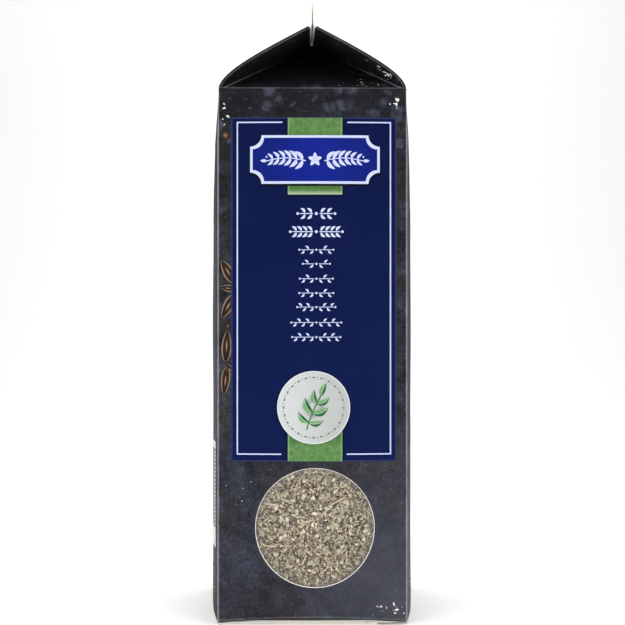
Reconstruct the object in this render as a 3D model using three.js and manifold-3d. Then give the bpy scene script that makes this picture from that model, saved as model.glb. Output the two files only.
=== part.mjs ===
// A one-litre gable-top carton of rubbed sage, with a round window near its foot.
// Millimetres, +Z up. The window faces -Y, and the origin is the middle of the footprint on the floor.

import * as THREE from 'three';
import { mergeVertices } from 'three/addons/utils/BufferGeometryUtils.js';
import Module from 'manifold-3d';

// Folded board
const HALF_WIDTH = 35;
const SHOULDER_Z = 199.3;
const TOP_Z = 232;
const BOARD = 0.5;
const CORNER_RADIUS = 1.6;

// Bulge of the filled carton
const SIDE_BULGE = 4.2;
const FRONT_BULGE = 2.4;
const WIDEST_Z = 80;
const BULGE_END_Z = 198.3;
const FOOT_ROUNDING = 8;
const FOOT_SHARE = 0.35;

// Roof, as a cubic curve from the shoulder to the ridge, in X and Z
const ROOF_START = [34.95, 199.6];
const ROOF_LOW = [33.8, 206.2];
const ROOF_HIGH = [22, 213.2];
const ROOF_END = [0.9, 223.0];
const ROOF_SETTLE = 0.45;
const ROOF_ROOT_Z = 198.8;
const ROOF_ROOT_X = [34.85, 34.65];

// Gusset tucked between the roof panels
const FOLD_DEPTH = 0.7;
const FOLD_FRONT_Y = -34.75;
const FOLD_BEAD_Y = [-34.87, -34.2];
const FOLD_BEAD_DEPTH = [0.25, 0.95];
const CREASE_START = [33.6, -34.85, 199.1];
const CREASE_END = [0.8, -0.5, 220.9];
const CREASE_MITRE = [0.55, 0.58, 0];
const GUSSET_NORMAL = [0, 0.54, -0.84];

// Ridge fin of four sealed layers
const FIN_THICKNESS = 2.6;
const FIN_BASE_Z = 220.6;
const FIN_HALF_LENGTH = 34.9;

// Bottom flaps under the front and back panels
const WALL_BASE_Z = 0.6;
const WALL_ARCH = 1.1;
const FLAP = 0.65;
const FLAP_SEAM_X = 24;
const FLAP_INSET = 0.2;
const FLAP_OVERLAP = 0.15;
const TUCK_THICKNESS = 0.75;

// Window and its film patch
const WINDOW_X = 0.9;
const WINDOW_Z = 36.1;
const WINDOW_RADIUS = 22.1;
const WINDOW_SEGMENTS = 48;
const FILM_HALF_WIDTH = 28;
const FILM_HALF_HEIGHT = 29;
const FILM_THICKNESS = 0.15;
const GAP = 0.3;

// Sage
const FILL_TOP_Z = 168;
const FILL_HEAP = 6;
const FILL_GAP = 0.4;
const LAYER_DEPTH = 3.4;
const LAYER_RADIUS = 25.5;
const SCATTER_RADIUS = 22.6;
const SCATTER_SEED = 41;
const PLACE_ATTEMPTS = 4000;
const HEAP_PROFILE = [[1, 0], [0.85, 0.5], [0.6, 0.8], [0.3, 0.95], [0, 1]];

// Loose pieces of stem, with their bend as a share of their length
const STEM_COUNT = 14;
const STEM_LENGTH = [3, 6.2];
const STEM_RADIUS = [0.32, 0.46];
const STEM_FLATNESS = 0.8;
const STEM_BEND = [-0.09, 0.09];
const STEM_BEND_INWARD = 0.4;
const STEM_CLEARANCE = 0.5;
const STEM_TILT = [-0.03, 0.03];

// Loose flakes of leaf, with their depths behind the film
const FLAKE_COUNT = 26;
const FLAKE_RADIUS = [1.1, 1.8];
const FLAKE_THICKNESS = 0.35;
const FLAKE_CORNERS = 7;
const FLAKE_CORNER_JITTER = 0.5;
const FLAKE_REACH = [0.7, 1];
const FLAKE_NARROWNESS = 0.75;
const FLAKE_CUP = 0.12;
const FLAKE_DEPTH = [0.8, 1.3];
const FLAKE_TILT = [-0.25, 0.25];

// Colours
const PRINTED_BOARD = 0x3a3b43;
const CLEAR_FILM = 0xdfe4e6;
const RUBBED_SAGE = 0x7f7c69;
const SAGE_STEM = 0xd2cab0;
const SAGE_LEAF = 0x8d8b76;

// Fineness of the faceted surfaces
const PANEL_STEPS = 8;
const CORNER_STEPS = 3;
const ROOF_STEPS = 9;
const DEPTH_STEPS = 6;
const FILM_STEPS = 6;
const STEM_STEPS = 4;
const STEM_SEGMENTS = 6;
const CLEARANCE_SAMPLES = 6;
const WALL_ROWS = [
  WALL_BASE_Z, 2, 4, 7, 12, 24, 46, 70, 95, 120, 145, 165, 180, 190, 195.5, BULGE_END_Z, SHOULDER_Z,
];

const FLAT = HALF_WIDTH - CORNER_RADIUS;
const FLAP_STACK_TOP = 2 * FLAP + TUCK_THICKNESS;
const FILM_FRONT = BOARD + GAP;
const FILM_BACK = FILM_FRONT + FILM_THICKNESS;

const wasm = await Module();
wasm.setup();

/** Random numbers from 0 to 1 that are the same in every run, by a linear congruential step. */
function seededRandom(seed) {
  const factor = 1664525;
  const step = 1013904223;
  const span = 2 ** 32;
  let state = seed;
  return () => {
    state = (state * factor + step) >>> 0;
    return state / span;
  };
}

function between(random, [low, high]) {
  return low + (high - low) * random();
}

/** Triangle corners without those that collapse to a line. */
function properTriangles(index) {
  const corners = [];
  for (let start = 0; start < index.length; start += 3) {
    const [a, b, c] = [index[start], index[start + 1], index[start + 2]];
    if (a !== b && b !== c && c !== a) corners.push(a, b, c);
  }
  return corners;
}

/** Six times the volume inside the triangles, negative if they face inwards. */
function signedVolume(position, corners) {
  const [a, b, c] = [new THREE.Vector3(), new THREE.Vector3(), new THREE.Vector3()];
  let total = 0;
  for (let start = 0; start < corners.length; start += 3) {
    a.fromBufferAttribute(position, corners[start]);
    b.fromBufferAttribute(position, corners[start + 1]);
    c.fromBufferAttribute(position, corners[start + 2]);
    total += a.dot(b.cross(c));
  }
  return total;
}

/** A solid for cutting and joining, from a closed geometry. */
function solidOf(geometry) {
  const bare = geometry.clone();
  bare.deleteAttribute('normal');
  bare.deleteAttribute('uv');
  const welded = mergeVertices(bare, 1e-4);
  const corners = properTriangles(welded.index.array);
  if (signedVolume(welded.attributes.position, corners) < 0) corners.reverse();
  return new wasm.Manifold(new wasm.Mesh({
    numProp: 3,
    vertProperties: new Float32Array(welded.attributes.position.array),
    triVerts: new Uint32Array(corners),
  }));
}

function geometryOf(solid) {
  const mesh = solid.getMesh();
  const geometry = new THREE.BufferGeometry();
  geometry.setAttribute('position', new THREE.BufferAttribute(new Float32Array(mesh.vertProperties), 3));
  geometry.setIndex(new THREE.BufferAttribute(new Uint32Array(mesh.triVerts), 1));
  geometry.computeVertexNormals();
  return geometry;
}

function solidFromPoints(points, triangles) {
  const geometry = new THREE.BufferGeometry();
  geometry.setAttribute('position', new THREE.Float32BufferAttribute(points.flat(), 3));
  geometry.setIndex(triangles.flat());
  return solidOf(geometry);
}

/** The triangles of a grid of points. A looped grid joins its last column to its first. */
function gridTriangles(rowCount, columnCount, looped, first = 0) {
  const triangles = [];
  const spans = looped ? columnCount : columnCount - 1;
  for (let row = 0; row < rowCount - 1; row++) {
    for (let column = 0; column < spans; column++) {
      const a = first + row * columnCount + column;
      const b = first + row * columnCount + (column + 1) % columnCount;
      triangles.push([a, b, b + columnCount], [a, b + columnCount, a + columnCount]);
    }
  }
  return triangles;
}

/** A board between two grids of points, closed round its edges. */
function boardBetween(outer, inner, looped = false) {
  const rows = outer.length;
  const columns = outer[0].length;
  const half = rows * columns;
  const triangles = gridTriangles(rows, columns, looped);
  for (const [a, b, c] of gridTriangles(rows, columns, looped, half)) triangles.push([a, c, b]);
  const rim = (a, b) => triangles.push([b, a, a + half], [b, a + half, b + half]);
  for (let column = 0; column < (looped ? columns : columns - 1); column++) {
    const next = (column + 1) % columns;
    rim(column, next);
    rim((rows - 1) * columns + next, (rows - 1) * columns + column);
  }
  for (let row = 0; row < rows - 1 && !looped; row++) {
    rim((row + 1) * columns, row * columns);
    rim(row * columns + columns - 1, (row + 1) * columns + columns - 1);
  }
  return solidFromPoints([...outer.flat(), ...inner.flat()], triangles);
}

/** How far the panels bulge at a height, as a share of their greatest bulge. */
function bulgeShare(z) {
  if (z < FOOT_ROUNDING) {
    return FOOT_SHARE + (1 - FOOT_SHARE) * Math.sqrt(1 - (1 - z / FOOT_ROUNDING) ** 2);
  }
  const rise = Math.max(0, z - WIDEST_Z) / (BULGE_END_Z - WIDEST_Z);
  return Math.cbrt(Math.max(0, 1 - rise ** 4));
}

/** How far a panel lies from the carton's axis, at a place along its width. */
function panelDistance(along, z, bulge) {
  return HALF_WIDTH + bulge * bulgeShare(z) * (1 - (along / FLAT) ** 2);
}

/** The carton's outline at a height, from the left of the front panel and round to its start. */
function sectionRing(z, inset, arch = 0) {
  const ring = [];
  for (let panel = 0; panel < 4; panel++) {
    const facesY = panel % 2 === 0;
    const turn = new THREE.Matrix4().makeRotationZ(panel * Math.PI / 2);
    const place = (x, y, height) => ring.push(new THREE.Vector3(x, y, height).applyMatrix4(turn).toArray());
    for (let step = 0; step <= PANEL_STEPS; step++) {
      const along = FLAT * (2 * step / PANEL_STEPS - 1);
      const out = panelDistance(along, z, facesY ? FRONT_BULGE : SIDE_BULGE) - inset;
      const lift = facesY ? arch * (1 - (along / FLAT) ** 2) : 0;
      place(along, -out, z + lift);
    }
    for (let step = 1; step < CORNER_STEPS; step++) {
      const angle = (step / CORNER_STEPS - 1) * Math.PI / 2;
      const radius = CORNER_RADIUS - inset;
      place(FLAT + radius * Math.cos(angle), -FLAT + radius * Math.sin(angle), z);
    }
  }
  return ring;
}

/** The four standing panels, as one tube. */
function standingPanels() {
  const rings = (inset) => WALL_ROWS.map((z) => sectionRing(z, inset, z === WALL_BASE_Z ? WALL_ARCH : 0));
  return boardBetween(rings(0), rings(BOARD), true);
}

/** A point of the right roof panel's outer face and the normal there, in X and Z. */
function roofProfile(share, y) {
  const corners = [ROOF_START, ROOF_LOW, ROOF_HIGH, ROOF_END].map(([x, z]) => new THREE.Vector2(x, z));
  const settle = ROOF_SETTLE * (1 - (y / HALF_WIDTH) ** 2);
  const chordLow = corners[0].clone().lerp(corners[3], 1 / 3);
  const chordHigh = corners[0].clone().lerp(corners[3], 2 / 3);
  corners[1].lerp(chordLow, settle);
  corners[2].lerp(chordHigh, settle);
  const curve = new THREE.CubicBezierCurve(...corners);
  const tangent = curve.getTangent(share);
  return { point: curve.getPoint(share), normal: new THREE.Vector2(tangent.y, -tangent.x) };
}

/** A point at a depth below the roof's outer face. side is 1 on the right and -1 on the left. */
function roofPoint(share, y, depth, side) {
  const { point, normal } = roofProfile(share, y);
  return [side * (point.x - depth * normal.x), y, point.y - depth * normal.y];
}

function roofPanel(side) {
  const column = (_, step) => HALF_WIDTH * (2 * step / DEPTH_STEPS - 1);
  const columns = Array.from({ length: DEPTH_STEPS + 1 }, column);
  const face = (depth, rootX) => {
    const rows = [columns.map((y) => [side * rootX, y, ROOF_ROOT_Z])];
    for (let row = 0; row <= ROOF_STEPS; row++) {
      rows.push(columns.map((y) => roofPoint(row / ROOF_STEPS, y, depth, side)));
    }
    return rows;
  };
  return boardBetween(face(0, ROOF_ROOT_X[0]), face(BOARD, ROOF_ROOT_X[1]));
}

function mix(from, to, share) {
  return from.map((value, axis) => value + (to[axis] - value) * share);
}

/** A gusset with the two fold-backs that lie under the roof panels. facing is -1 in front and 1 behind. */
function gusset(facing) {
  const placed = ([x, y, z], side) => [side * x, -facing * y, z];
  const pocket = [];
  const inner = [];
  for (let row = 0; row <= ROOF_STEPS; row++) {
    const share = row / ROOF_STEPS;
    const crease = mix(CREASE_START, CREASE_END, share);
    const behindCrease = crease.map((value, axis) => value + CREASE_MITRE[axis]);
    const behindPanel = crease.map((value, axis) => value + BOARD * GUSSET_NORMAL[axis]);
    const foldPoint = (depth) => roofPoint(share, FOLD_FRONT_Y, depth, 1);
    const folded = (side) => [
      [foldPoint(FOLD_DEPTH + BOARD), foldPoint(FOLD_DEPTH)],
      [crease, behindCrease],
      [[crease[0] - BOARD, crease[1], crease[2]], [behindPanel[0] - BOARD, behindPanel[1], behindPanel[2]]],
    ].map((faces) => faces.map((point) => placed(point, side)));
    const columns = [...folded(-1), ...folded(1).reverse()];
    pocket.push(columns.map(([face]) => face));
    inner.push(columns.map(([, face]) => face));
  }
  return boardBetween(pocket, inner);
}

/** The fold that joins a roof panel's end to the fold-back under it. */
function foldBead(side, facing) {
  const face = (depth) => Array.from({ length: ROOF_STEPS + 1 }, (_, row) => (
    FOLD_BEAD_Y.map((y) => roofPoint(row / ROOF_STEPS, -facing * y, depth, side))
  ));
  return boardBetween(face(FOLD_BEAD_DEPTH[0]), face(FOLD_BEAD_DEPTH[1]));
}

function box(x0, x1, y0, y1, z0, z1) {
  const geometry = new THREE.BoxGeometry(x1 - x0, y1 - y0, z1 - z0);
  geometry.translate((x0 + x1) / 2, (y0 + y1) / 2, (z0 + z1) / 2);
  return solidOf(geometry);
}

/** A flat sheet with the outline of the carton's foot. */
function footSheet(z, thickness) {
  const outline = sectionRing(WALL_BASE_Z, FLAP_INSET).map(([x, y]) => new THREE.Vector2(x, y));
  const settings = { depth: thickness, bevelEnabled: false };
  const geometry = new THREE.ExtrudeGeometry(new THREE.Shape(outline), settings);
  geometry.translate(0, 0, z);
  return solidOf(geometry);
}

/** A triangular gusset tucked above the flaps. end is -1 at the front and 1 at the back. */
function bottomTuck(end, z) {
  const shape = new THREE.Shape([
    new THREE.Vector2(-FLAT, end * FLAT),
    new THREE.Vector2(FLAT, end * FLAT),
    new THREE.Vector2(0, end),
  ]);
  const geometry = new THREE.ExtrudeGeometry(shape, { depth: TUCK_THICKNESS, bevelEnabled: false });
  geometry.translate(0, 0, z);
  return solidOf(geometry);
}

/** Inner flap over the whole foot, outer flap glued under it up to the seam, and the tucks above. */
function bottomFlaps() {
  const reach = 2 * HALF_WIDTH;
  const outerFlap = footSheet(0, FLAP).intersect(box(-reach, FLAP_SEAM_X, -reach, reach, -1, reach));
  const innerFlap = footSheet(FLAP - FLAP_OVERLAP, FLAP + FLAP_OVERLAP);
  const tuckZ = 2 * FLAP - FLAP_OVERLAP;
  return outerFlap.add(innerFlap).add(bottomTuck(-1, tuckZ)).add(bottomTuck(1, tuckZ));
}

/** A round bar along Y through the front panel, centred on the window. */
function windowBar(radius, fromY, toY) {
  const bar = new THREE.CylinderGeometry(radius, radius, toY - fromY, WINDOW_SEGMENTS);
  bar.translate(WINDOW_X, (fromY + toY) / 2, -WINDOW_Z);
  bar.applyMatrix4(new THREE.Matrix4().makeScale(1, 1, -1));
  return solidOf(bar);
}

function cartonBlank() {
  const halfFin = FIN_THICKNESS / 2;
  const folds = [-1, 1].flatMap((side) => [-1, 1].map((facing) => foldBead(side, facing)));
  return [roofPanel(-1), roofPanel(1), gusset(-1), gusset(1), ...folds]
    .reduce((board, panel) => board.add(panel), standingPanels())
    .add(box(-halfFin, halfFin, -FIN_HALF_LENGTH, FIN_HALF_LENGTH, FIN_BASE_Z, TOP_Z))
    .add(bottomFlaps())
    .subtract(windowBar(WINDOW_RADIUS, -2 * HALF_WIDTH, -FLAT));
}

/** A point behind the front panel's outer face. */
function behindFront(x, z, inset) {
  return [x, inset - panelDistance(x, z, FRONT_BULGE), z];
}

/** A sheet that follows the front panel round the window, between two depths behind its outer face. */
function filmSheet(margin, frontInset, backInset) {
  const face = (inset) => Array.from({ length: FILM_STEPS + 1 }, (_, row) => {
    const z = WINDOW_Z + (FILM_HALF_HEIGHT + margin) * (2 * row / FILM_STEPS - 1);
    return Array.from({ length: FILM_STEPS + 1 }, (_, column) => {
      const x = WINDOW_X + (FILM_HALF_WIDTH + margin) * (2 * column / FILM_STEPS - 1);
      return behindFront(x, z, inset);
    });
  });
  return boardBetween(face(frontInset), face(backInset));
}

function windowFilm() {
  return filmSheet(0, FILM_FRONT, FILM_BACK);
}

/** The settled sage: the carton's inside up to a low heap, less the layer of loose pieces at the window. */
function sageFill() {
  const inset = BOARD + FILL_GAP;
  const floor = FLAP_STACK_TOP + FILL_GAP;
  const walls = [floor, ...WALL_ROWS.filter((z) => z > floor && z < FILL_TOP_Z)];
  const shrunk = (z, share, lift) => (
    sectionRing(z, inset).map(([x, y]) => [x * share, y * share, z + lift])
  );
  const rings = [
    shrunk(floor, 0, 0),
    ...walls.map((z) => shrunk(z, 1, 0)),
    ...HEAP_PROFILE.map(([share, rise]) => shrunk(FILL_TOP_Z, share, FILL_HEAP * rise)),
  ];
  const body = solidFromPoints(rings.flat(), gridTriangles(rings.length, rings[0].length, true));
  const layerBack = FILM_BACK + LAYER_DEPTH - HALF_WIDTH - FRONT_BULGE;
  return body
    .subtract(filmSheet(GAP, 0, FILM_BACK + GAP))
    .subtract(windowBar(LAYER_RADIUS, -2 * HALF_WIDTH, layerBack));
}

/** A bent stick about the origin, along X. */
function stemBit(length, radius, random) {
  const bend = between(random, STEM_BEND) * length;
  const path = new THREE.QuadraticBezierCurve3(
    new THREE.Vector3(-length / 2, 0, 0),
    new THREE.Vector3(0, bend, bend * STEM_BEND_INWARD),
    new THREE.Vector3(length / 2, 0, 0),
  );
  const section = new THREE.Shape();
  section.absellipse(0, 0, radius, radius * STEM_FLATNESS, 0, 2 * Math.PI);
  return new THREE.ExtrudeGeometry(section, {
    steps: STEM_STEPS, curveSegments: STEM_SEGMENTS, extrudePath: path, bevelEnabled: false,
  });
}

/** A torn, slightly cupped piece of leaf about the origin, in the XY plane. */
function leafFlake(radius, random) {
  const outline = [];
  for (let corner = 0; corner < FLAKE_CORNERS; corner++) {
    const angle = 2 * Math.PI * (corner + FLAKE_CORNER_JITTER * random()) / FLAKE_CORNERS;
    const reach = radius * between(random, FLAKE_REACH);
    outline.push(new THREE.Vector2(reach * Math.cos(angle), FLAKE_NARROWNESS * reach * Math.sin(angle)));
  }
  const settings = { depth: FLAKE_THICKNESS, bevelEnabled: false };
  const geometry = new THREE.ExtrudeGeometry(new THREE.Shape(outline), settings);
  const cup = FLAKE_CUP / radius;
  const position = geometry.attributes.position;
  for (let index = 0; index < position.count; index++) {
    const [x, y] = [position.getX(index), position.getY(index)];
    position.setZ(index, position.getZ(index) - FLAKE_THICKNESS / 2 + cup * (x * x + y * y));
  }
  return geometry;
}

/** The shortest way between two pieces laid out flat, each a line with a reach round it. */
function clearance(one, other) {
  let nearest = Infinity;
  for (let i = 0; i <= CLEARANCE_SAMPLES; i++) {
    const a = one.from.clone().lerp(one.to, i / CLEARANCE_SAMPLES);
    for (let j = 0; j <= CLEARANCE_SAMPLES; j++) {
      const b = other.from.clone().lerp(other.to, j / CLEARANCE_SAMPLES);
      nearest = Math.min(nearest, a.distanceTo(b));
    }
  }
  return nearest - one.reach - other.reach;
}

/** A free place inside the window for a piece of this length and reach. */
function freePlace(length, reach, taken, random) {
  for (let attempt = 0; attempt < PLACE_ATTEMPTS; attempt++) {
    const angle = 2 * Math.PI * random();
    const centre = new THREE.Vector2(SCATTER_RADIUS * Math.sqrt(random()), 0);
    centre.rotateAround(new THREE.Vector2(), 2 * Math.PI * random());
    const half = new THREE.Vector2(length / 2, 0).rotateAround(new THREE.Vector2(), angle);
    const place = { centre, angle, from: centre.clone().sub(half), to: centre.clone().add(half), reach };
    const inside = Math.max(place.from.length(), place.to.length()) + reach < SCATTER_RADIUS;
    if (inside && taken.every((other) => clearance(place, other) > GAP)) {
      taken.push(place);
      return place;
    }
  }
  throw new Error('no free place left behind the window');
}

function finish(colour, roughness) {
  return new THREE.MeshStandardMaterial({ color: colour, roughness, metalness: 0 });
}

function addPiece(group, name, geometry, material) {
  const mesh = new THREE.Mesh(geometry, material);
  mesh.name = name;
  group.add(mesh);
  return mesh;
}

/** Lays a piece that was made in the XY plane against the film, at its place and depth. */
function layAtWindow(mesh, place, depth, tilt) {
  const [x, z] = [WINDOW_X + place.centre.x, WINDOW_Z + place.centre.y];
  mesh.position.set(...behindFront(x, z, FILM_BACK + GAP + depth));
  mesh.rotation.set(Math.PI / 2 + tilt, 0, 0);
  mesh.rotateZ(place.angle);
}

function loosePieces() {
  const group = new THREE.Group();
  const random = seededRandom(SCATTER_SEED);
  const taken = [];
  for (let number = 1; number <= STEM_COUNT; number++) {
    const length = between(random, STEM_LENGTH);
    const radius = between(random, STEM_RADIUS);
    const place = freePlace(length, radius, taken, random);
    const name = `stem_bit_${String(number).padStart(2, '0')}`;
    const mesh = addPiece(group, name, stemBit(length, radius, random), finish(SAGE_STEM, 0.8));
    layAtWindow(mesh, place, radius + STEM_CLEARANCE, between(random, STEM_TILT));
  }
  for (let number = 1; number <= FLAKE_COUNT; number++) {
    const radius = between(random, FLAKE_RADIUS);
    const place = freePlace(0, radius, taken, random);
    const name = `leaf_flake_${String(number).padStart(2, '0')}`;
    const mesh = addPiece(group, name, leafFlake(radius, random), finish(SAGE_LEAF, 0.95));
    layAtWindow(mesh, place, between(random, FLAKE_DEPTH), between(random, FLAKE_TILT));
  }
  return group;
}

const carton = new THREE.Group();
addPiece(carton, 'carton_blank', geometryOf(cartonBlank()), finish(PRINTED_BOARD, 0.45));
addPiece(carton, 'window_film', geometryOf(windowFilm()), finish(CLEAR_FILM, 0.08));
addPiece(carton, 'sage_fill', geometryOf(sageFill()), finish(RUBBED_SAGE, 0.95));
carton.add(loosePieces());

export default carton;
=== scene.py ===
"""Looks of a gable-top carton of rubbed sage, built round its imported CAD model.

Lengths are metres, +Z up. The window faces -Y, and the origin is under the middle of the foot.
"""

import random
from math import ceil, cos, exp, pi, radians, sin, sqrt

import bmesh
import bpy
import numpy as np
from bpy.props import FloatProperty, FloatVectorProperty, IntProperty, PointerProperty
from bpy.types import Operator, Panel, PropertyGroup
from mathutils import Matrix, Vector, noise


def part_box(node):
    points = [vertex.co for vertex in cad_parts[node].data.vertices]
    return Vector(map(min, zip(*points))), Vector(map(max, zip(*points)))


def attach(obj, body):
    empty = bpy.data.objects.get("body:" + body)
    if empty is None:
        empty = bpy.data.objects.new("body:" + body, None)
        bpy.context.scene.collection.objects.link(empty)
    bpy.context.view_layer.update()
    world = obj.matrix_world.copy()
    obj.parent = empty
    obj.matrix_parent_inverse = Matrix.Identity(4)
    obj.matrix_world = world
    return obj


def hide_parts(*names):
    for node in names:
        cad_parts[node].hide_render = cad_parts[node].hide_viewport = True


bl_info = {
    "name": "Gable-top carton of rubbed sage",
    "version": (1, 0, 0),
    "blender": (4, 5, 0),
    "location": "View3D > Sidebar > Carton",
    "description": "Builds the printed board, film window and rubbed sage of a one-litre carton",
    "category": "Add Mesh",
}

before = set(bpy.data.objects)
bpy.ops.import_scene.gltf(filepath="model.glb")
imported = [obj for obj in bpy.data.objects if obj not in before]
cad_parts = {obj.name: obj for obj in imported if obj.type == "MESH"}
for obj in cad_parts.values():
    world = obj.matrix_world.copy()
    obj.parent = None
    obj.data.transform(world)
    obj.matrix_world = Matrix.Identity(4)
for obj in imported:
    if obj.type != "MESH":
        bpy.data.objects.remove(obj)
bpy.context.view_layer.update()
BLANK_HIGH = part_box("carton_blank")[1]
FILM_LOW, FILM_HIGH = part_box("window_film")

MM = 0.001
BODY = "root"


def mm(*values):
    """Millimetres as metres."""
    return tuple(value * MM for value in values)


def srgb(red, green, blue):
    """A colour given as display bytes, in the linear values that materials take."""
    shares = [byte / 255 for byte in (red, green, blue)]
    return tuple(s / 12.92 if s <= 0.04045 else ((s + 0.055) / 1.055) ** 2.4 for s in shares)


# Walls: their foot, shoulder, swell, corners and slow ripples
FOOT_Z = 1.6 * MM
FOOT_ROLL = 0.9 * MM
FOOT_ARCH = {"front": 1.55 * MM, "back": 1.55 * MM, "left": 0.2 * MM, "right": 0.2 * MM}
FOOT_ROUNDING = 5 * MM
FOOT_SHARE = 0.88
ROLL_ANGLES = (-75, -60, -45, -30, -15, 0)
SHOULDER_ROLL = 0.6 * MM
SHOULDER_ANGLES = (0, 15, 30, 45, 60, 75)
BULGE_END = 198.3 * MM
BULGE_HALF = 33.4 * MM
CORNER_START = 34.75 * MM
CORNER_RUN = 0.55 * MM
CORNER_GROWTH_RUN = 20 * MM
ARCH_TOP = 5 * MM
ARCH_RUN = 3 * MM
RIPPLE_HEIGHTS = mm(21, 8.5)
RIPPLE_WIDTHS = mm(13, 19)
RIPPLE_CALM = 20 * MM

# Roof curve in X and Z, the folds and gusset under it, and the fin
ROOF_START = mm(34.93, 199.3)
ROOF_LOW = mm(34.1, 204.9)
ROOF_HIGH = mm(22.5, 211.6)
ROOF_REACH = 1.2 * MM
ROOF_END_Z = 221.95 * MM
ROOF_BEND_Z = 222.55 * MM
FIN_START_Z = 224 * MM
PRESS_START_Z = 221 * MM
ROOF_SETTLE = 0.45
ROOF_EDGE_Y = 34.4 * MM
FOLD_DEPTH = (0.7 * MM, 0.43 * MM)
FOLD_UNDER = (1.2 * MM, 0.83 * MM)
CREASE_START = mm(33.6, -34.4, 199.38)
CREASE_END = mm(0.8, -0.5, 220.9)
CREASE_BACK = (mm(0.55, 0.58, 0), mm(0.4, 0.45, 0))
GUSSET_BACK = (mm(0, 0.27, -0.42), mm(0, 0.45, 0))
FIN_THIN = 0.9 * MM
FIN_PITCH = 1.6 * MM
FIN_RIDGE = 0.05 * MM
FIN_BOARD = 0.23 * MM
FIN_END_FILL = (0.14 * MM, 0.28 * MM)

# Window, film and loose sage. Depths are behind the front panel's face, and crumbs reach past the hole
WINDOW_X = (FILM_LOW.x + FILM_HIGH.x) / 2
WINDOW_Z = (FILM_LOW.z + FILM_HIGH.z) / 2
FILM_DEPTH = mm(0.8, 0.95)
FILM_STEP = 2.4 * MM
CRUMB_REACH = 24.3 * MM
CRUMB_GAP = 0.06 * MM
CRUMB_GROUPS = 3

# Inks: lift of the lowest above the board, step from layer to layer, thickness, and spacing of points
INK_LIFT = 0.03 * MM
INK_STEP = 0.035 * MM
INK_BODY = 0.03 * MM
GRID_STEP = 2.8 * MM

# Lower end of the ribbon's upper stretch, and the plaque's cut corners and pale rim
RIBBON_TOP_END = 159.45 * MM
PLAQUE_NOTCH = 4.2 * MM
PLAQUE_RIM = 0.95 * MM

# Where each series of random draws starts
PRINT_SEED = 7
PANEL_SEED = 31
CRUMB_SEED = 50
STEM_SEED = 100
FLAKE_SEED = 300


def place(name, description, millimetres, **limits):
    """A place along an axis, given in millimetres and kept in metres."""
    return FloatProperty(
        name=name, description=description, default=millimetres * MM, precision=5, unit="LENGTH", **limits
    )


def length(name, description, millimetres):
    """A size, given and kept in the same way."""
    return place(name, description, millimetres, min=0.0)


def power(name, description, watts):
    """The power of a light."""
    return FloatProperty(name=name, description=description, default=watts, unit="POWER")


def colour(name, description, red, green, blue):
    """A colour given as display bytes."""
    return FloatVectorProperty(
        name=name, description=description, default=srgb(red, green, blue),
        subtype="COLOR", size=3, min=0.0, max=1.0,
    )


class CartonSizes(PropertyGroup):
    """Sizes of the folded board."""

    half_width: length("Half width", "Half of the carton's width at its shoulder corners", 34.97)
    corner_growth: length("Corner growth", "How much further out the corners stand below", 0.58)
    side_bulge: length("Side bulge", "How far the sides swell out", 3.35)
    front_bulge: length("Front bulge", "How far the front and back swell out", BLANK_HIGH.y / MM - 35.55)
    widest: length("Widest height", "Height at which the panels swell most", 42)
    shoulder: length("Shoulder height", "Height of the crease under the roof", 199.3)
    top: length("Top height", "Height of the fin's top edge", BLANK_HIGH.z / MM)
    board: length("Board", "Thickness of the board", 0.5)
    fin_half: length("Half fin", "Half of the fin's thickness at its ends", 1.25)
    window_radius: length("Window radius", "Radius of the round window", 21.95)
    ripple: length("Ripple", "How far the panels wander from an even swell", 0.1)


class LabelSizes(PropertyGroup):
    """Places of the printed label on the front panel."""

    left: place("Left", "Left edge of the label", -29.6)
    right: place("Right", "Right edge of the label", 30.6)
    bottom: place("Bottom", "Lower edge of the label", 61.2)
    top: place("Top", "Upper edge of the label", 187.6)
    line_width: length("Line width", "Width of the border line", 0.48)
    ribbon_left: place("Ribbon left", "Left edge of the ribbon", -9.15)
    ribbon_right: place("Ribbon right", "Right edge of the ribbon", 11.0)
    plaque_x: place("Plaque centre", "Middle of the plaque", 0.9)
    plaque_z: place("Plaque height", "Height of the plaque's middle", 172.4)
    plaque_width: length("Plaque width", "Width of the plaque", 48)
    plaque_height: length("Plaque depth", "Height of the plaque itself", 18)
    seal_x: place("Seal centre", "Middle of the round seal", 0.4)
    seal_z: place("Seal height", "Height of the seal's middle", 80.65)
    seal_radius: length("Seal radius", "Radius of the round seal", 13.5)
    rows_x: place("Rows centre", "Middle of the leaf rows", 1.4)


class PrintColours(PropertyGroup):
    """Colours of the board and its inks."""

    board: colour("Board", "Bare board", 251, 249, 244)
    slate_dark: colour("Dark slate", "Darkest slate print", 18, 18, 24)
    slate: colour("Slate", "Middle of the slate print", 41, 42, 48)
    slate_light: colour("Light slate", "Chalky smudges of the slate print", 86, 87, 98)
    # From navy_top to navy_bottom the label lightens towards its foot: a painted reflection of the floor.
    navy_top: colour("Navy top", "Label at its upper edge", 1, 17, 66)
    navy_bottom: colour("Navy bottom", "Label at its lower edge", 5, 23, 75)
    line: colour("Line", "Border line and leaf rows", 213, 221, 255)
    ribbon: colour("Ribbon", "Ribbon", 105, 147, 83)
    plaque: colour("Plaque", "Plaque", 14, 32, 134)
    seal: colour("Seal", "Seal", 206, 210, 210)
    leaf: colour("Leaf", "Printed leaves", 64, 128, 74)
    pod: colour("Pod", "Printed pods and peppercorns", 62, 45, 37)
    fleck: colour("Fleck", "Printed pale flecks", 232, 230, 222)


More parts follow.
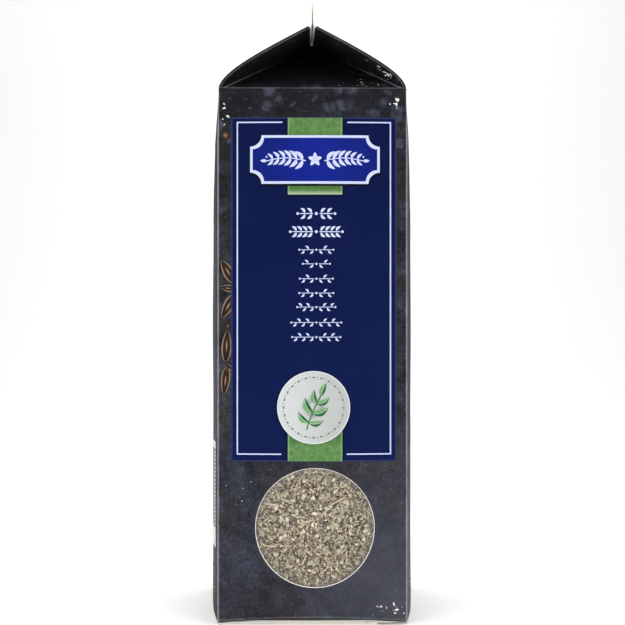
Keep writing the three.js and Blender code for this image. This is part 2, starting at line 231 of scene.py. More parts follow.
class SageLook(PropertyGroup):
    """Loose sage behind the window."""

    crumbs: IntProperty(name="Crumbs", description="Number of crumbs", default=10200, min=100, max=16000)
    smallest: length("Smallest crumb", "Half length of the smallest crumb", 0.3)
    largest: length("Largest crumb", "Half length of the largest crumb", 1.25)
    layer: length("Layer", "Depth of the loose layer", 2.1)
    pale: colour("Pale sage", "Palest crumbs", 252, 244, 224)
    middle: colour("Sage", "Most crumbs", 218, 206, 184)
    dark: colour("Dark sage", "Darkest crumbs", 78, 69, 57)
    stem: colour("Stem", "Pieces of stem", 222, 212, 184)


class StageLook(PropertyGroup):
    """Floor, lights and camera."""

    floor: colour("Floor", "Floor and backdrop", 246, 246, 245)
    camera_distance: length("Camera distance", "From the camera to the middle of the foot", 515)
    camera_height: length("Camera height", "Height of the level camera", 115.8)
    camera_turn: FloatProperty(
        name="Camera turn", description="How far the camera stands to the left", default=radians(0.6),
        subtype="ANGLE",
    )
    lens: FloatProperty(name="Lens", description="Focal length in millimetres", default=74.4, min=1.0)
    side_power: power("Side power", "Each side softbox", 4.1)
    top_power: power("Top power", "Overhead softbox", 8.6)
    back_power: power("Back power", "Backdrop light", 16.0)
    world: FloatProperty(name="World", description="Strength of the surrounding light", default=0.1)


class Value:
    """A number or colour that varies over a surface. Arithmetic on a number adds Math nodes."""

    def __init__(self, shader, socket):
        self.shader = shader
        self.socket = socket

    def math(self, operation, first, second=0.0):
        return self.shader.out(0, "ShaderNodeMath", {"operation": operation}, {0: first, 1: second})

    def __add__(self, other):
        return self.math("ADD", self, other)

    __radd__ = __add__

    def __sub__(self, other):
        return self.math("SUBTRACT", self, other)

    def __rsub__(self, other):
        return self.math("SUBTRACT", other, self)

    def __mul__(self, other):
        return self.math("MULTIPLY", self, other)

    __rmul__ = __mul__

    def __abs__(self):
        return self.math("ABSOLUTE", self)

    def tint(self, share, red, green, blue):
        """This colour under a share of another, given as display bytes."""
        return self.shader.mix(share, self, srgb(red, green, blue))

    def least(self, other):
        return self.math("MINIMUM", self, other)

    def most(self, other):
        return self.math("MAXIMUM", self, other)


def rgba(colour_value):
    """A colour socket's value from a colour, or a Value as it is."""
    return colour_value if isinstance(colour_value, Value) else (*tuple(colour_value)[:3], 1.0)


class Shader:
    """One material's nodes, round its Principled shader."""

    def __init__(self, name):
        self.material = bpy.data.materials.new(name)
        self.material.use_nodes = True
        self.tree = self.material.node_tree
        self.surface = self.tree.nodes["Principled BSDF"]
        self.position = self.out("Object", "ShaderNodeTexCoord")

    def node(self, kind, settings=None, sockets=None):
        """A node of this type, with its settings set first and then its sockets."""
        made = self.tree.nodes.new(kind)
        for name, value in (settings or {}).items():
            if name == "stops":
                self.set_stops(made.color_ramp, value)
            else:
                setattr(made, name, value)
        self.feed(made, sockets or {})
        return made

    def out(self, output, kind, settings=None, sockets=None):
        """One output of a new node."""
        return Value(self, self.node(kind, settings, sockets).outputs[output])

    def feed(self, node, sockets):
        """Sets or links a node's sockets."""
        for name, value in sockets.items():
            if isinstance(value, Value):
                self.tree.links.new(value.socket, node.inputs[name])
            else:
                node.inputs[name].default_value = value

    @staticmethod
    def set_stops(ramp, stops):
        """Gives a colour ramp these stops, each a place and a colour."""
        ramp.elements.remove(ramp.elements[1])
        (first_place, first_colour), *others = stops
        ramp.elements[0].position = first_place
        ramp.elements[0].color = rgba(first_colour)
        for stop_place, stop_colour in others:
            ramp.elements.new(stop_place).color = rgba(stop_colour)

    def axes(self):
        """The place on the object along X, Y and Z."""
        split = self.node("ShaderNodeSeparateXYZ", None, {0: self.position})
        return [Value(self, output) for output in split.outputs]

    def reach(self, x, z):
        """How far x and z lie from nought."""
        joined = self.out(0, "ShaderNodeCombineXYZ", None, {0: x, 1: z})
        return self.out("Value", "ShaderNodeVectorMath", {"operation": "LENGTH"}, {0: joined})

    def noise(self, size, detail=2.0, roughness=0.5, stretch=(1, 1, 1)):
        """Soft noise from 0 to 1 with spots of about this size."""
        settings = {"operation": "MULTIPLY"}
        scaled = self.out(0, "ShaderNodeVectorMath", settings, {0: self.position, 1: stretch})
        return self.out(0, "ShaderNodeTexNoise", None, {
            "Vector": scaled, "Scale": 1 / size, "Detail": detail, "Roughness": roughness,
        })

    def cells(self, size, warp=0.0):
        """Distance from the middle of a random cell, in cells, and a number that each cell has."""
        push = self.out("Color", "ShaderNodeTexNoise", None, {
            "Vector": self.position, "Scale": 1 / size, "Detail": 3.0,
        })
        pushed = self.out(0, "ShaderNodeVectorMath", {"operation": "MULTIPLY_ADD"}, {
            0: push, 1: (warp, warp, warp), 2: self.position,
        })
        made = self.node("ShaderNodeTexVoronoi", None, {"Vector": pushed, "Scale": 1 / size})
        pick = self.out(0, "ShaderNodeSeparateColor", None, {0: Value(self, made.outputs["Color"])})
        return Value(self, made.outputs["Distance"]), pick

    def specks(self, size, reach, share=0.26):
        """Small round specks in a share of the cells of this size, fading out within reach."""
        distance, pick = self.cells(size, 0.12 * size)
        return self.fade(distance, reach, 0.4 * reach) * self.fade(pick, 1 - share, 1.04 - share)

    def fade(self, value, start, end):
        """0 at start, 1 at end, and smooth between."""
        return self.out(0, "ShaderNodeMapRange", {"interpolation_type": "SMOOTHSTEP"}, {
            "Value": value, "From Min": start, "From Max": end,
        })

    def ramp(self, value, stops):
        """A colour picked along stops."""
        return self.out(0, "ShaderNodeValToRGB", {"stops": stops}, {0: value})

    def mix(self, share, first, second, blend_type="MIX"):
        """One colour over another."""
        settings = {"data_type": "RGBA", "blend_type": blend_type}
        return self.out(2, "ShaderNodeMix", settings, {0: share, 6: rgba(first), 7: rgba(second)})

    def field(self, name):
        """A number stored at the mesh's points."""
        return self.out("Fac", "ShaderNodeAttribute", {"attribute_name": name})

    def bump(self, height, strength, distance):
        """A normal raised by a height map."""
        return self.out("Normal", "ShaderNodeBump", None, {
            "Strength": strength, "Distance": distance, "Height": height,
        })

    def finish(self, base, roughness, normal=None, **others):
        """Feeds the Principled shader and gives the material back."""
        sockets = {"Base Color": rgba(base), "Roughness": roughness}
        if normal is not None:
            sockets["Normal"] = normal
        self.feed(self.surface, {**sockets, **others})
        return self.material


def varnished(shader, base):
    """Ink under a thin satin varnish, on board whose fibres show faintly."""
    fibres = shader.noise(0.5 * MM, 3, 0.6, (1, 1, 0.6))
    sweep = shader.noise(17 * MM, 2)
    normal = shader.bump(fibres + 3 * sweep, 0.25, 0.03 * MM)
    roughness = 0.52 + 0.1 * sweep + 0.08 * fibres
    return shader.finish(base, roughness, normal, **{"Specular IOR Level": 0.08})


def print_colours():
    """The scene's ink and board colours."""
    return bpy.context.scene.print_colours


def label_sizes():
    """The scene's label places."""
    return bpy.context.scene.label_sizes


def slate_material():
    """Charcoal slate print with bluish smudges and chalk marks, painted shade towards the top and in the
    recess under the roof, a painted floor reflection towards the foot, and worn folds that also carry a
    painted highlight.
    """
    shader = Shader("slate_print")
    inks = print_colours()
    x, _, z = shader.axes()
    blotches = shader.noise(24 * MM, 3, 0.6)
    smudges = shader.noise(5.5 * MM, 6, 0.72)
    grain = shader.noise(0.8 * MM, 3, 0.65)
    mottle = 0.28 * blotches + 0.42 * smudges + 0.3 * grain
    slate = shader.ramp(mottle, [
        (0.38, inks.slate_dark), (0.48, inks.slate), (0.56, srgb(57, 58, 67)), (0.66, inks.slate_light),
    ])
    high = shader.fade(z, 120 * MM, 192 * MM)
    low = shader.fade(z, 95 * MM, 5 * MM)
    # Painted shade: the slate darkens towards the top of the walls.
    slate = slate.tint(0.62 * high, 20, 20, 24)
    # Painted reflection of the floor: the slate lightens towards the foot, more to the right.
    slate = shader.mix((0.04 + 0.46 * shader.fade(x, -30 * MM, 30 * MM)) * low, slate, inks.slate_light)
    distance, pick = shader.cells(4.4 * MM, 5.5 * MM)
    dabs = shader.fade(distance, 0.66, 0.2) * shader.fade(pick, 0.6, 0.8) * shader.fade(smudges, 0.34, 0.56)
    slate = slate.tint((0.12 + 0.36 * high) * dabs, 94, 96, 110)
    tint = shader.ramp(shader.noise(17 * MM, 3), [(0.38, (1.05, 1.0, 0.94)), (0.62, (0.95, 0.99, 1.08))])
    slate = shader.mix(1.0, slate, tint, "MULTIPLY")
    chalk = shader.fade(shader.noise(1.7 * MM, 5, 0.75, (0.6, 1, 1.3)), 0.58, 0.76)
    slate = slate.tint(0.42 * chalk, 122, 122, 134)
    slate = slate.tint(0.6 * shader.specks(4.6 * MM, 0.07), 150, 152, 162)
    # Painted shade in the recess under the roof, at the shoulder where the gussets begin.
    recess_shade = shader.fade(z, 199.2 * MM, 200.6 * MM)
    slate = slate.tint(0.62 * recess_shade, 10, 10, 13)
    # Worn print and painted highlight along the folds: the crease field lightens the slate.
    worn_and_lit = shader.fade(shader.field("crease") * (0.72 + 0.6 * smudges) + 0.25 * grain, 0.55, 1.3)
    slate = slate.tint(0.85 * worn_and_lit, 168, 167, 170)
    return varnished(shader, slate)


def cream_material():
    """Bare board: cream, with long fibres and a soft matt face."""
    shader = Shader("cream_board")
    inks = print_colours()
    fibres = shader.noise(0.6 * MM, 4, 0.65, (1, 1, 0.35))
    cloud = shader.noise(9 * MM, 2)
    base = shader.mix(shader.fade(fibres, 0.35, 0.7), inks.board, srgb(240, 236, 226))
    base = base.tint(0.4 * cloud, 254, 253, 250)
    normal = shader.bump(fibres, 0.4, 0.05 * MM)
    return shader.finish(base, 0.72 + 0.14 * fibres, normal)


def underside_material():
    """Bare board of the foot, with its pressed diagonal creases and scuffs."""
    shader = Shader("cream_foot")
    inks = print_colours()
    x, y, _ = shader.axes()
    fibres = shader.noise(0.6 * MM, 4, 0.65)
    scuffs = shader.noise(6 * MM, 5, 0.7)
    diagonal = shader.fade(abs(abs(x) - abs(y)), 0.55 * MM, 0.1 * MM)
    base = shader.mix(shader.fade(fibres, 0.35, 0.7), srgb(250, 248, 242), srgb(236, 231, 220))
    base = base.tint(0.5 * shader.fade(scuffs, 0.56, 0.74), 196, 189, 176)
    base = base.tint(0.35 * diagonal, 150, 142, 128)
    normal = shader.bump(fibres - 3 * diagonal, 0.4, 0.06 * MM)
    return shader.finish(base, 0.74 + 0.12 * fibres, normal)


def from_ribbon(x, label):
    """How far a place is from the ribbon's middle, and half the ribbon's width."""
    middle = (label.ribbon_left + label.ribbon_right) / 2
    return abs(x - middle), (label.ribbon_right - label.ribbon_left) / 2


def shadow_of_label_parts(shader):
    """The dark the printed ribbon and seal cast on what lies under them, from 0 to 1."""
    label = label_sizes()
    x, _, z = shader.axes()
    away, half = from_ribbon(x, label)
    beside = away - half
    upper = beside.most(RIBBON_TOP_END - z)
    lower = beside.most(z - label.seal_z)
    ribbon = shader.fade(upper.least(lower), 1.5 * MM, -0.2 * MM)
    distance = shader.reach(x - label.seal_x, z - (label.seal_z - 0.35 * MM))
    return ribbon.most(shader.fade(distance, label.seal_radius + 1.1 * MM, label.seal_radius))


def navy_material():
    """Navy label field, lighter towards its foot as a painted reflection of the floor, with the ribbon's and
    the seal's printed shade.
    """
    shader = Shader("navy_ink")
    inks = print_colours()
    label = label_sizes()
    _, _, z = shader.axes()
    # Painted reflection of the floor: the navy runs from navy_top to the lighter navy_bottom towards the
    # label's foot.
    reflection_share = shader.fade(z, label.top, label.bottom)
    cloud = shader.noise(21 * MM, 3)
    base = shader.mix(reflection_share, inks.navy_top, inks.navy_bottom)
    base = base.tint(0.3 * shader.fade(cloud, 0.45, 0.75), 20, 30, 84)
    base = base.tint(0.2 * shader.noise(0.8 * MM, 2), 14, 20, 56)
    base = base.tint(0.8 * shadow_of_label_parts(shader), 8, 12, 26)
    return varnished(shader, base)


def line_material():
    """Pale ink of the border line and the leaf rows."""
    shader = Shader("pale_ink")
    mottle = shader.noise(1.3 * MM, 3)
    base = shader.mix(0.35 * mottle, print_colours().line, srgb(186, 196, 236))
    return varnished(shader, base)


def ribbon_material():
    """Green paper-like ribbon, shaded under the plaque and the seal."""
    shader = Shader("ribbon_ink")
    inks = print_colours()
    label = label_sizes()
    x, _, z = shader.axes()
    grain = shader.noise(1.5 * MM, 4, 0.75)
    base = shader.mix(shader.fade(grain, 0.4, 0.62), inks.ribbon, srgb(72, 113, 60))
    base = base.tint(0.4 * shader.noise(6 * MM, 2), 118, 158, 104)
    base = base.tint(0.22 * shader.fade(z, 120 * MM, 150 * MM), 72, 112, 52)
    plaque_top = label.plaque_z + label.plaque_height / 2
    plaque_foot = label.plaque_z - label.plaque_height / 2
    above = shader.fade(z, plaque_top + 2.4 * MM, plaque_top)
    under = shader.fade(z, RIBBON_TOP_END + 0.4 * MM, plaque_foot) * shader.fade(z, 176 * MM, 174 * MM)
    tip = shader.fade(z, RIBBON_TOP_END + 1.7 * MM, RIBBON_TOP_END) * shader.fade(z, 150 * MM, 152 * MM)
    base = base.tint(0.35 * above * shader.fade(z, 176 * MM, 178 * MM), 60, 100, 44)
    base = base.tint(0.6 * under, 48, 76, 30)
    base = base.tint(0.75 * tip, 192, 206, 174)
    seal_foot = label.seal_z - label.seal_radius
    seal_shade = shader.fade(z, seal_foot - 1.1 * MM, seal_foot + 1 * MM)
    base = base.tint(0.4 * seal_shade * shader.fade(z, 120 * MM, 110 * MM), 54, 86, 46)
    away, half = from_ribbon(x, label)
    edge = shader.fade(away, half - 0.75 * MM, half - 0.25 * MM)
    base = base.tint(0.5 * edge, 150, 186, 140)
    return varnished(shader, base)


def plaque_material():
    """Blue plaque, deeper round its edge."""
    shader = Shader("plaque_ink")
    inks = print_colours()
    label = label_sizes()
    x, _, z = shader.axes()
    across = abs(x - label.plaque_x) * (2 / label.plaque_width)
    out = across + abs(z - label.plaque_z) * (0.8 / label.plaque_height)
    cloud = shader.noise(8 * MM, 2)
    base = shader.mix(shader.fade(out, 0.3, 1.1), inks.plaque, srgb(12, 24, 104))
    base = base.tint(0.4 * cloud, 24, 48, 156)
    return varnished(shader, base)


def seal_material():
    """Silver-grey seal with upright brush marks and a painted sheen: bright at its left, a little darker
    towards its right.
    """
    shader = Shader("seal_ink")
    inks = print_colours()
    label = label_sizes()
    x, _, z = shader.axes()
    rightward = (x - label.seal_x) * 0.95 - (z - label.seal_z) * 0.05
    brush = shader.noise(1.6 * MM, 4, 0.6, (1, 1, 0.25))
    # Painted sheen: the seal is brightest at its left and dims towards its right.
    sheen_falloff = shader.fade(rightward + 1.5 * MM * brush, -11 * MM, 12 * MM)
    base = shader.mix(sheen_falloff, inks.seal, srgb(182, 186, 183))
    base = base.tint(0.2 * brush, 232, 235, 236)
    return varnished(shader, base)


def toned_material(name, dark, middle, light, spot=0.9 * MM):
    """Ink that runs from dark to light by the tone stored at its points."""
    shader = Shader(name)
    tone = shader.field("tone") + 0.22 * (shader.noise(spot, 3) - 0.5)
    base = shader.ramp(tone, [(0.0, dark), (0.5, middle), (1.0, light)])
    return varnished(shader, base)


def film_material():
    """Clear film with a little sage dust clinging to its back."""
    shader = Shader("clear_film")
    dust = shader.noise(2.4 * MM, 5, 0.7)
    x, _, z = shader.axes()
    out = shader.reach(x - WINDOW_X, z - WINDOW_Z)
    edge = bpy.context.scene.carton_sizes.window_radius
    near_edge = shader.fade(out, edge - 5 * MM, edge)
    haze = 0.03 + 0.08 * shader.fade(dust, 0.5, 0.75) + 0.05 * near_edge
    settings = {"Specular IOR Level": 0.8, "Alpha": haze}
    return shader.finish(srgb(206, 200, 196), 0.06 + 0.1 * dust, **settings)


def crumb_material():
    """Dry rubbed sage: grey-green to tan, each crumb its own tone, with painted shade on the crumbs that lie
    deeper.
    """
    shader = Shader("rubbed_sage")
    look = bpy.context.scene.sage_look
    tone = shader.field("tone")
    mottle = shader.noise(0.4 * MM, 3, 0.65)
    base = shader.ramp(tone + 0.24 * (mottle - 0.5), [
        (0.0, look.dark), (0.22, srgb(150, 138, 121)), (0.45, srgb(183, 171, 150)), (0.6, look.middle),
        (0.78, srgb(230, 219, 197)), (1.0, look.pale),
    ])
    hue = shader.ramp(shader.field("hue"), [
        (0.0, (0.92, 1.0, 0.9)), (0.35, (0.98, 1.0, 0.97)), (0.7, (1.02, 0.98, 0.97)),
        (1.0, (1.08, 0.95, 0.84)),
    ])
    base = shader.mix(1.0, base, hue, "MULTIPLY")
    normal = shader.bump(mottle, 0.5, 0.05 * MM)
    return shader.finish(base, 0.82 + 0.1 * mottle, normal, **{"Specular IOR Level": 0.25})


def fill_material():
    """The settled body of sage, with painted shade between the crumbs."""
    shader = Shader("sage_body")
    crumbs = shader.noise(0.9 * MM, 5, 0.7)
    # Painted shade: the darkest stops stand for the gaps between crumbs.
    base = shader.ramp(crumbs, [
        (0.34, srgb(66, 58, 50)), (0.48, srgb(120, 110, 96)), (0.58, srgb(166, 155, 135)),
        (0.7, srgb(220, 210, 188)),
    ])
    normal = shader.bump(crumbs, 0.9, 0.6 * MM)
    return shader.finish(base, 0.86 + 0.08 * crumbs, normal)


def stem_material():
    """Dry woody stem: pale straw with long darker fibres."""
    shader = Shader("sage_stem")
    look = bpy.context.scene.sage_look
    fibre = shader.field("fibre")
    mottle = shader.noise(0.5 * MM, 3)
    base = shader.mix(shader.fade(fibre + 0.4 * mottle, 0.5, 1.1), look.stem, srgb(158, 142, 112))
    base = base.tint(0.35 * mottle, 238, 230, 206)
    return shader.finish(base, 0.68 + 0.12 * mottle, shader.bump(fibre, 0.4, 0.04 * MM))


def flake_material():
    """Torn leaf: felted grey-green face with paler veins and a tan edge."""
    shader = Shader("sage_leaf")
    vein = shader.field("vein")
    felt = shader.noise(0.28 * MM, 4, 0.7)
    base = shader.ramp(shader.field("tone") + 0.3 * (felt - 0.5), [
        (0.0, srgb(126, 118, 100)), (0.5, srgb(180, 170, 148)), (1.0, srgb(224, 214, 190)),
    ])
    base = base.tint(0.6 * vein, 218, 210, 182)
    return shader.finish(base, 0.84 + 0.1 * felt, shader.bump(felt + vein, 0.6, 0.06 * MM))


def outward(mesh):
    """Turns every closed body's faces outwards."""
    shape = bmesh.new()
    shape.from_mesh(mesh)
    bmesh.ops.recalc_face_normals(shape, faces=shape.faces)
    shape.to_mesh(mesh)
    shape.free()


def add_object(name, data):
    """A new object in the scene."""
    added = bpy.data.objects.new(name, data)
    bpy.context.scene.collection.objects.link(added)
    return added


def add_piece(name, points, faces, materials, face_slots=None, fields=None, sharp=40):
    """A mesh piece that rides on the carton's one body."""
    mesh = bpy.data.meshes.new(name)
    mesh.from_pydata(np.asarray(points).tolist(), [], faces)
    for material in materials:
        mesh.materials.append(material)
    if face_slots is not None:
        mesh.polygons.foreach_set("material_index", face_slots)
    for field, values in (fields or {}).items():
        mesh.attributes.new(field, "FLOAT", "POINT").data.foreach_set("value", np.asarray(values, float))
    outward(mesh)
    mesh.shade_smooth()
    mesh.set_sharp_from_angle(angle=radians(sharp))
    piece = add_object(name, mesh)
    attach(piece, BODY)
    return piece


def grid_faces(rows, columns, keep=None):
    """Quads of a grid of points, row by row. keep says which cells are wanted."""
    return [
        (row * columns + column, row * columns + column + 1,
         (row + 1) * columns + column + 1, (row + 1) * columns + column)
        for row in range(rows - 1) for column in range(columns - 1)
        if keep is None or keep(row, column)
    ]


def ring_faces(rings, count):
    """Quads between closed rings of count points each."""
    return [
        (ring * count + i, ring * count + (i + 1) % count,
         (ring + 1) * count + (i + 1) % count, (ring + 1) * count + i)
        for ring in range(rings - 1) for i in range(count)
    ]


def fan(tip, first, count, flip=False):
    """Triangles between a tip and the ring of points that starts at first."""
    edges = [(first + i, first + (i + 1) % count) for i in range(count)]
    return [(tip, b, a) if flip else (tip, a, b) for a, b in edges]


def turned(x, y, angle):
    """A place turned round nought."""
    return x * cos(angle) - y * sin(angle), x * sin(angle) + y * cos(angle)


def round_from(u, v, radius, angle):
    """A place on a circle."""
    return u + radius * cos(angle), v + radius * sin(angle)


def circle(u, v, radius, sides):
    """Points round a circle."""
    return [round_from(u, v, radius, 2 * pi * i / sides) for i in range(sides)]


def closed_sheet(outer, inner, faces, slots=None):
    """A board between two layers of points that share their faces, closed round every edge."""
    count = len(outer)
    edges = {(face[i - 1], face[i]) for face in faces for i in range(len(face))}
    rim = [(b, a, a + count, b + count) for a, b in sorted(edges) if (b, a) not in edges]
    back = [tuple(corner + count for corner in reversed(face)) for face in faces]
    face_slots = list(slots or [0] * len(faces)) + [1] * (len(back) + len(rim))
    return np.vstack([outer, inner]), faces + back + rim, face_slots


def used_only(faces):
    """The points that faces use, and the faces counted by them."""
    used = sorted({corner for face in faces for corner in face})
    number = {old: new for new, old in enumerate(used)}
    return used, [tuple(number[corner] for corner in face) for face in faces]


def spread(start, end, step):
    """Evenly spaced values from start to end, about a step apart."""
    return np.linspace(start, end, max(2, round(abs(end - start) / step) + 1))


def curve(t, first, corner, last):
    """A place on the curve from first to last that bends towards a corner."""
    return (1 - t) ** 2 * first + 2 * t * (1 - t) * corner + t ** 2 * last


def curve_run(t, first, corner, last):
    """Which way that curve runs there."""
    return (1 - t) * (corner - first) + t * (last - corner)


class Carton:
    """Where the faces of the folded carton lie, worked out from its sizes."""

    TURNS = {"front": 0, "right": 1, "back": 2, "left": 3}

    def __init__(self):
        sizes = bpy.context.scene.carton_sizes
        for name in CartonSizes.__annotations__:
            setattr(self, name, getattr(sizes, name))

    def bulge_share(self, z):
        """How far the panels swell at a height, as a share of the most."""
        foot = FOOT_SHARE + (1 - FOOT_SHARE) * np.sqrt(np.clip(1 - (1 - z / FOOT_ROUNDING) ** 2, 0, 1))
        rise = np.clip((z - self.widest) / (BULGE_END - self.widest), 0, 1)
        return np.where(z < FOOT_ROUNDING, foot, np.cbrt(1 - rise ** 4))

    def half_at(self, z):
        """Half the width between the corners, which widens a little below the shoulder."""
        t = np.clip((self.shoulder - z) / CORNER_GROWTH_RUN, 0, 1)
        return self.half_width + self.corner_growth * t * t * (3 - 2 * t)

    def ripples(self, turn, along, z):
        """A slow unevenness that dies out at the corners, the foot and the shoulder."""
        waves = np.sin(z / RIPPLE_HEIGHTS[0] + 1.7 * turn) * np.cos(along / RIPPLE_WIDTHS[0] + 0.9 * turn)
        waves = waves + 0.6 * np.sin(z / RIPPLE_HEIGHTS[1] + 2.3 * turn + along / RIPPLE_WIDTHS[1])
        across = np.clip(1 - (along / CORNER_START) ** 2, 0, 1)
        calm = across * np.clip(np.minimum(z, BULGE_END - z) / RIPPLE_CALM, 0, 1)
        return self.ripple * waves * calm

    def wall(self, panel, along, z, depth=0.0):
        """Points of a wall at a depth behind its outer face. Past CORNER_START comes half the corner."""
        turn = self.TURNS[panel]
        along, z, depth = (np.array(a, float) for a in np.broadcast_arrays(along, z, depth))
        share, half = self.bulge_share(z), self.half_at(z)
        bulges = (self.front_bulge, self.side_bulge)
        own, other = bulges if turn % 2 == 0 else reversed(bulges)

        def swell(place_along, bulge):
            out = half + bulge * share * (1 - (place_along / BULGE_HALF) ** 2)
            return out, -2 * bulge * share * place_along / BULGE_HALF ** 2

        side = np.where(along < 0, -1.0, 1.0)
        away = np.abs(along)
        flat = np.minimum(away, CORNER_START)
        out, slope = swell(flat, own)
        out = out + self.ripples(turn, along, z)
        end, end_slope = swell(CORNER_START, own)
        next_end, next_slope = swell(CORNER_START, other)
        rise = next_end - CORNER_START
        tip = (rise + next_slope * (end - CORNER_START)) / (1 - next_slope * end_slope)
        tip_along, tip_out = CORNER_START + tip, end + tip * end_slope
        t = 0.5 * np.clip((away - CORNER_START) / CORNER_RUN, 0, 1)
        bends = (CORNER_START, tip_along, next_end), (end, tip_out, CORNER_START)
        bent = away > CORNER_START
        place_along, place_out = (
            np.where(bent, curve(t, *bend), plain) for bend, plain in zip(bends, (flat, out))
        )
        run_along, run_out = (
            np.where(bent, curve_run(t, *bend), plain) for bend, plain in zip(bends, (1.0, slope))
        )
        size = np.hypot(run_along, run_out)
        x, y = side * (place_along + depth * run_out / size), depth * run_along / size - place_out
        for _ in range(turn):
            x, y = -y, x
        return np.stack([x, y, z], -1)

    def fin_width(self, y):
        """Half the fin's thickness along its length: pinched, and splayed at its ends."""
        return FIN_THIN + (self.fin_half - FIN_THIN) * (np.abs(y) / ROOF_EDGE_Y) ** 5

    ROOF_SHARES = (0, 0.02, 0.05, 0.09, 0.14, 0.2, 0.27, 0.35, 0.43, 0.52, 0.61, 0.7, 0.79, 0.87, 0.94, 1)
    BEND_SHARES = (0.17, 0.33, 0.5, 0.67, 0.83, 1)

    def fin_rows(self):
        """Heights of the fin's rows above its foot."""
        return spread(FIN_START_Z, self.top, FIN_PITCH / 5)[1:]

    def roof_line(self, y):
        """Rows of the roof's outer face at each y, from the shoulder to the fin's top: x, z and normal."""
        y = np.atleast_1d(np.asarray(y, float))
        width = self.fin_width(y)
        ones = np.ones_like(y)
        start = np.array([ROOF_START[0] * ones, ROOF_START[1] * ones])
        end = np.array([width + ROOF_REACH, ROOF_END_Z * ones])
        settle = ROOF_SETTLE * (1 - (y / self.half_width) ** 2)

        def settled(corner, share):
            chord = start + (end - start) * share
            corner = np.array(corner)[:, None] * ones
            return corner + (chord - corner) * settle

        low, high = settled(ROOF_LOW, 1 / 3), settled(ROOF_HIGH, 2 / 3)
        places, runs = [], []
        for t in self.ROOF_SHARES:
            places.append((1 - t) * curve(t, start, low, high) + t * curve(t, low, high, end))
            runs.append(curve(t, low - start, high - low, end - high))
        knee, foot = np.array([width, ROOF_BEND_Z * ones]), np.array([width, FIN_START_Z * ones])
        for t in self.BEND_SHARES:
            places.append(curve(t, end, knee, foot))
            runs.append(curve_run(t, end, knee, foot))
        for z in self.fin_rows():
            ridge = FIN_RIDGE * 0.5 * (1 - cos(2 * pi * (z - FIN_START_Z) / FIN_PITCH))
            places.append(np.array([width + ridge, z * ones]))
            runs.append(np.array([0 * ones, ones]))
        places, runs = np.array(places), np.array(runs)
        runs = runs / np.linalg.norm(runs, axis=1, keepdims=True)
        return places[:, 0], places[:, 1], runs[:, 1], -runs[:, 0]

    @staticmethod
    def lay(z):
        """0 on the roof and 1 in the fin, where the folds are pressed together."""
        return np.clip((z - PRESS_START_Z) / (FIN_START_Z - PRESS_START_Z), 0, 1)

    def roof(self, y, depth):
        """Points of the right roof panel and its fin rib at a depth below the outer face, row by row."""
        x, z, across, up = self.roof_line(y)
        return np.stack([x - depth * across, np.broadcast_to(y, x.shape), z - depth * up], -1)


def print_on(name, surface, shapes, ink, layer):
    """Prints shapes on a surface as a closed skin of the named ink, hundredths of a millimetre thick."""
    if ink not in bpy.data.materials:
        raise RuntimeError(f"{ink} isn't made yet: build the label first")
    material = bpy.data.materials[ink]
    u, v = np.array(shapes.points).T
    lift = INK_LIFT + layer * INK_STEP
    outer = surface(u, v, -(lift + INK_BODY))
    inner = surface(u, v, -lift)
    points, faces, _ = closed_sheet(outer, inner, shapes.faces)
    piece = add_piece(name, points, faces, [material], fields={"tone": shapes.tones * 2})
    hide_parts("carton_blank")


